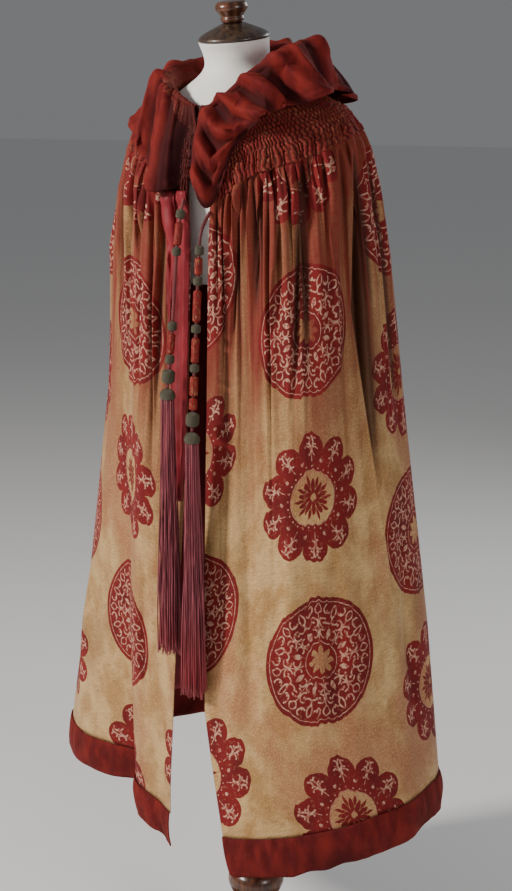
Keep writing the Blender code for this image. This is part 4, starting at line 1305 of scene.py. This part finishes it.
def wound_piece(name, place, along, half, radius, paint, turns, blunt):
    """A ball or length wound with thread: a globe pulled long, grooved by its turns."""
    made = globe(name, 22, max(14, int(turns * 6)), (radius, radius, half), paint)
    turn_to = along.to_track_quat("Z", "Y").to_matrix()
    for point in made.data.vertices:
        up = point.co.z / half
        phi = math.atan2(point.co.y, point.co.x)
        full = min(1.0, 1.08 * math.sqrt(max(0.0, 1.0 - abs(up) ** blunt)))
        groove = 1.0 - 0.10 * abs(math.sin(math.pi * turns * up + phi)) ** 3
        now = math.hypot(point.co.x, point.co.y)
        if now > 1e-6:
            point.co.x *= radius * full * groove / now
            point.co.y *= radius * full * groove / now
        point.co = turn_to @ point.co + place
    return made


on_cord = {"right": [], "left": []}
for side, beads in BEADS.items():
    line = cord_lines[side]
    for name, height, half, radius in beads:
        k = int(np.argmin(np.abs(line[:, 2] - height - POLE_DRAWN)))
        along = Vector(line[min(k + 1, len(line) - 1)] - line[k - 1]).normalized()
        place = Vector(line[k])
        shape = (place, along, half, radius)
        if name.startswith("knot"):
            turns = 3.0 if half < 0.01 else 4.0
            piece = wound_piece("wound_" + name, *shape, thread, turns, KNOT_BLUNT)
        else:
            turns = half * 2 / PAD_TURN
            piece = wound_piece("silk_" + name, *shape, padded, turns, PAD_BLUNT)
        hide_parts(name)
        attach(piece, "root")
        on_cord[side].append(piece)


# The tassels: a head bound round with thread, and a skirt of long thin twisted silk
# strands, a little redder and splayed at their ends.
STRAND_TINT = (1.0, 0.5, 0.55)
strand_silk, shader = new_material("strand_silk", (0.20, 0.035, 0.05), 0.55, sheen=0.12, tint=STRAND_TINT)
places = object_places(strand_silk)
parts_of = add_node(strand_silk, "ShaderNodeSeparateXYZ", {"Vector": places})
low_down = eased(strand_silk, parts_of.outputs["Z"], 0.775, 0.615)
faded = stretched_noise(strand_silk, places, (420.0, 420.0, 14.0), 2.0)
faded = eased(strand_silk, faded, 0.36, 0.66)
mauve = blend_colour(strand_silk, faded, (0.150, 0.019, 0.031), (0.390, 0.085, 0.110))
coloured(strand_silk, shader, blend_colour(strand_silk, low_down, mauve, (0.290, 0.028, 0.038)))
TASSEL_LENGTH = 0.450
STRANDS = 104
STRAND_RADIUS = 0.00088
SKIRT_RADIUS = 0.0105
GOLDEN_TURN = 2.39996
HEAD_SIZE = (0.0142, 0.0114, 0.0125)
HEAD_DROP = 0.014


def skirt(name, top, paint, seed):
    """All of one tassel's strands, each a thin twisted cord of its own."""
    pick = np.random.default_rng(seed)
    sides, rings = 5, 28
    points, faces = [], []
    for k in range(STRANDS):
        out = math.sqrt((k + 0.5) / STRANDS)
        phi = k * GOLDEN_TURN
        length = TASSEL_LENGTH * (1.0 - 0.045 * pick.random())
        down = np.linspace(0.0, 1.0, rings)
        spread = SKIRT_RADIUS * out * (1.0 + 0.95 * ease(down * 1.05))
        sway = 0.0014 * np.sin(down * (5 + 4 * pick.random()) + pick.random() * 6) * ease(down * 2)
        drift = 0.0016 * np.sin(down * (6 + 3 * pick.random()) + pick.random() * 6) * ease(down * 2)
        x = top[0] + spread * math.cos(phi) * 1.12 + sway
        y = top[1] + spread * math.sin(phi) * 0.78 + drift
        z = top[2] - HEAD_DROP - (length - HEAD_DROP) * down
        centre = np.stack([x, y, z], axis=-1)
        turn = np.linspace(0, 2 * math.pi, sides, endpoint=False)[None, :] + (down * 12.0)[:, None]
        reach = STRAND_RADIUS * (1.0 + 0.18 * np.cos(2 * turn + 3.0 * pick.random()))
        reach = reach * (1.0 + 0.25 * ease((down[:, None] - 0.96) * 25))
        turned = np.stack([reach * np.cos(turn), reach * np.sin(turn), 0 * turn], axis=-1)
        faces += tube_faces(rings, sides, len(points) * sides)
        points.extend(centre[:, None] + turned)
    return mesh_object(name, np.array(points), faces, paint)


for side, seed in (("right", 11), ("left", 12)):
    top = cord_lines[side][-1] - np.array([0.0, 0.0, 0.0003])
    strands = skirt("silk_strands_" + side, top, strand_silk, seed)
    head = globe("bound_head_" + side, 30, 40, HEAD_SIZE, thread)
    for point in head.data.vertices:
        up = point.co.z / HEAD_SIZE[2]
        phi = math.atan2(point.co.y, point.co.x)
        turns = 1.0 - 0.07 * abs(math.sin(math.pi * 4.0 * up + phi)) ** 3 * (1.0 - abs(up))
        neck = 1.0 - 0.30 * math.exp(-(((up + 0.62) / 0.20) ** 2))
        skirt_top = 1.0 + 0.55 * max(0.0, -up - 0.80)
        point.co.x *= turns * neck * skirt_top
        point.co.y *= turns * neck * skirt_top
        point.co += Vector(top) - Vector((0.0, 0.0, HEAD_SIZE[2]))
    for piece in (strands, head):
        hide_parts("tassel_" + side)
        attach(piece, "root")
    line = cord_lines[side]


# The stand: turned hardwood, stained and polished. A dark cap closes the neck under
# a small finial, and a pole with a turned bulb stands in a round base.
def turned_wood(name, dark, light, gloss):
    made, shader = new_material(name, light, gloss)
    shader.inputs["Coat Weight"].default_value = 0.35
    shader.inputs["Coat Roughness"].default_value = 0.18
    places = object_places(made)
    figure = stretched_noise(made, places, (95.0, 95.0, 9.0), 5.0, 0.6)
    pores = stretched_noise(made, places, (700.0, 700.0, 60.0), 2.0, 0.6)
    base = blend_colour(made, eased(made, figure, 0.32, 0.70), dark, light)
    worn = sum_of(made, "MULTIPLY", eased(made, pores, 0.55, 0.75), 0.5)
    coloured(made, shader, blend_colour(made, worn, base, dark))
    raised(made, shader, pores, 0.0002)
    return made


def rounded_profile(profile, steps=5):
    """A turner's smooth line through a profile's corners."""
    points = np.array(profile)
    fine = [points[0]]
    for a, b, c in zip(points, points[1:], points[2:]):
        near_a, near_c = b + (a - b) * 0.42, b + (c - b) * 0.42
        for k in range(steps + 1):
            t = k / steps
            fine.append((1 - t) ** 2 * near_a + 2 * t * (1 - t) * b + t * t * near_c)
    fine.append(points[-1])
    return [(max(0.0004, float(r)), float(z)) for r, z in fine]


def turned_piece(name, profile, segments, paint, foot=(0.0, 0.0, 0.0), lean=0.0):
    """A turned piece: a disc drawn up and widened ring by ring, as on a lathe."""
    profile = rounded_profile(profile)
    bpy.ops.object.select_all(action="DESELECT")
    radius, height = profile[0]
    bpy.ops.mesh.primitive_circle_add(
        vertices=segments, radius=radius, fill_type="NGON", location=(0.0, 0.0, height)
    )
    made = bpy.context.object
    made.name = name
    bpy.ops.object.transform_apply(location=True)
    bpy.ops.object.mode_set(mode="EDIT")
    bpy.ops.mesh.select_all(action="SELECT")
    for (now, low), (wide, high) in zip(profile, profile[1:]):
        bpy.ops.mesh.extrude_region_move(TRANSFORM_OT_translate={"value": (0.0, 0.0, high - low)})
        bpy.ops.transform.resize(value=(wide / now, wide / now, 1.0))
    bpy.ops.mesh.select_all(action="SELECT")
    bpy.ops.mesh.normals_make_consistent(inside=False)
    bpy.ops.object.mode_set(mode="OBJECT")
    bow = math.sin(lean), math.cos(lean)
    for point in made.data.vertices:
        x, y, z = point.co
        point.co = (x, foot[1] + y * bow[1] - z * bow[0], foot[2] + y * bow[0] + z * bow[1])
    made.data.materials.append(paint)
    made.data.shade_smooth()
    made.data.set_sharp_from_angle(angle=math.radians(42))
    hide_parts(name.replace("turned_", ""))
    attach(made, "root")


brown = turned_wood("brown_hardwood", (0.045, 0.014, 0.007), (0.165, 0.060, 0.028), 0.26)
black = turned_wood("dark_hardwood", (0.020, 0.010, 0.006), (0.085, 0.046, 0.026), 0.42)
NECK_TILT = math.atan(NECK_SLOPE)
up = np.array([0.0, -math.sin(NECK_TILT), math.cos(NECK_TILT)])
cap_foot = np.array([0.0, -0.064, 1.540 + POLE_DRAWN]) + up * 0.0003
finial_foot = cap_foot + up * 0.0263
CAP_PROFILE = (
    (0.030, 0.0), (0.056, 0.0), (0.058, 0.002), (0.057, 0.006), (0.048, 0.012),
    (0.032, 0.019), (0.016, 0.026), (0.008, 0.026),
)
FINIAL_PROFILE = (
    (0.009, 0.0), (0.017, 0.0), (0.020, 0.006), (0.0172, 0.010), (0.0218, 0.015),
    (0.0268, 0.022), (0.0262, 0.028), (0.022, 0.0332), (0.008, 0.034),
)
POLE_TOP = 1.1497 + POLE_DRAWN
POLE_PROFILE = (
    (0.017, 0.0463), (0.034, 0.0463), (0.033, 0.054), (0.022, 0.076), (0.022, 0.110),
    (0.028, 0.128), (0.044, 0.144), (0.052, 0.164), (0.048, 0.180), (0.034, 0.194),
    (0.017, 0.205), (0.021, 0.213), (0.021, 0.223), (0.016, 0.230), (0.016, POLE_TOP),
    (0.008, POLE_TOP),
)
BASE_PROFILE = (
    (0.090, 0.0), (0.182, 0.0), (0.186, 0.004), (0.190, 0.014), (0.188, 0.022),
    (0.178, 0.030), (0.150, 0.034), (0.100, 0.040), (0.060, 0.046), (0.030, 0.046),
)
turned_piece("turned_neck_cap", CAP_PROFILE, 72, black, cap_foot, NECK_TILT)
turned_piece("turned_finial", FINIAL_PROFILE, 64, brown, finial_foot, NECK_TILT)
turned_piece("turned_pole", POLE_PROFILE, 64, brown)
turned_piece("turned_base", BASE_PROFILE, 96, brown)
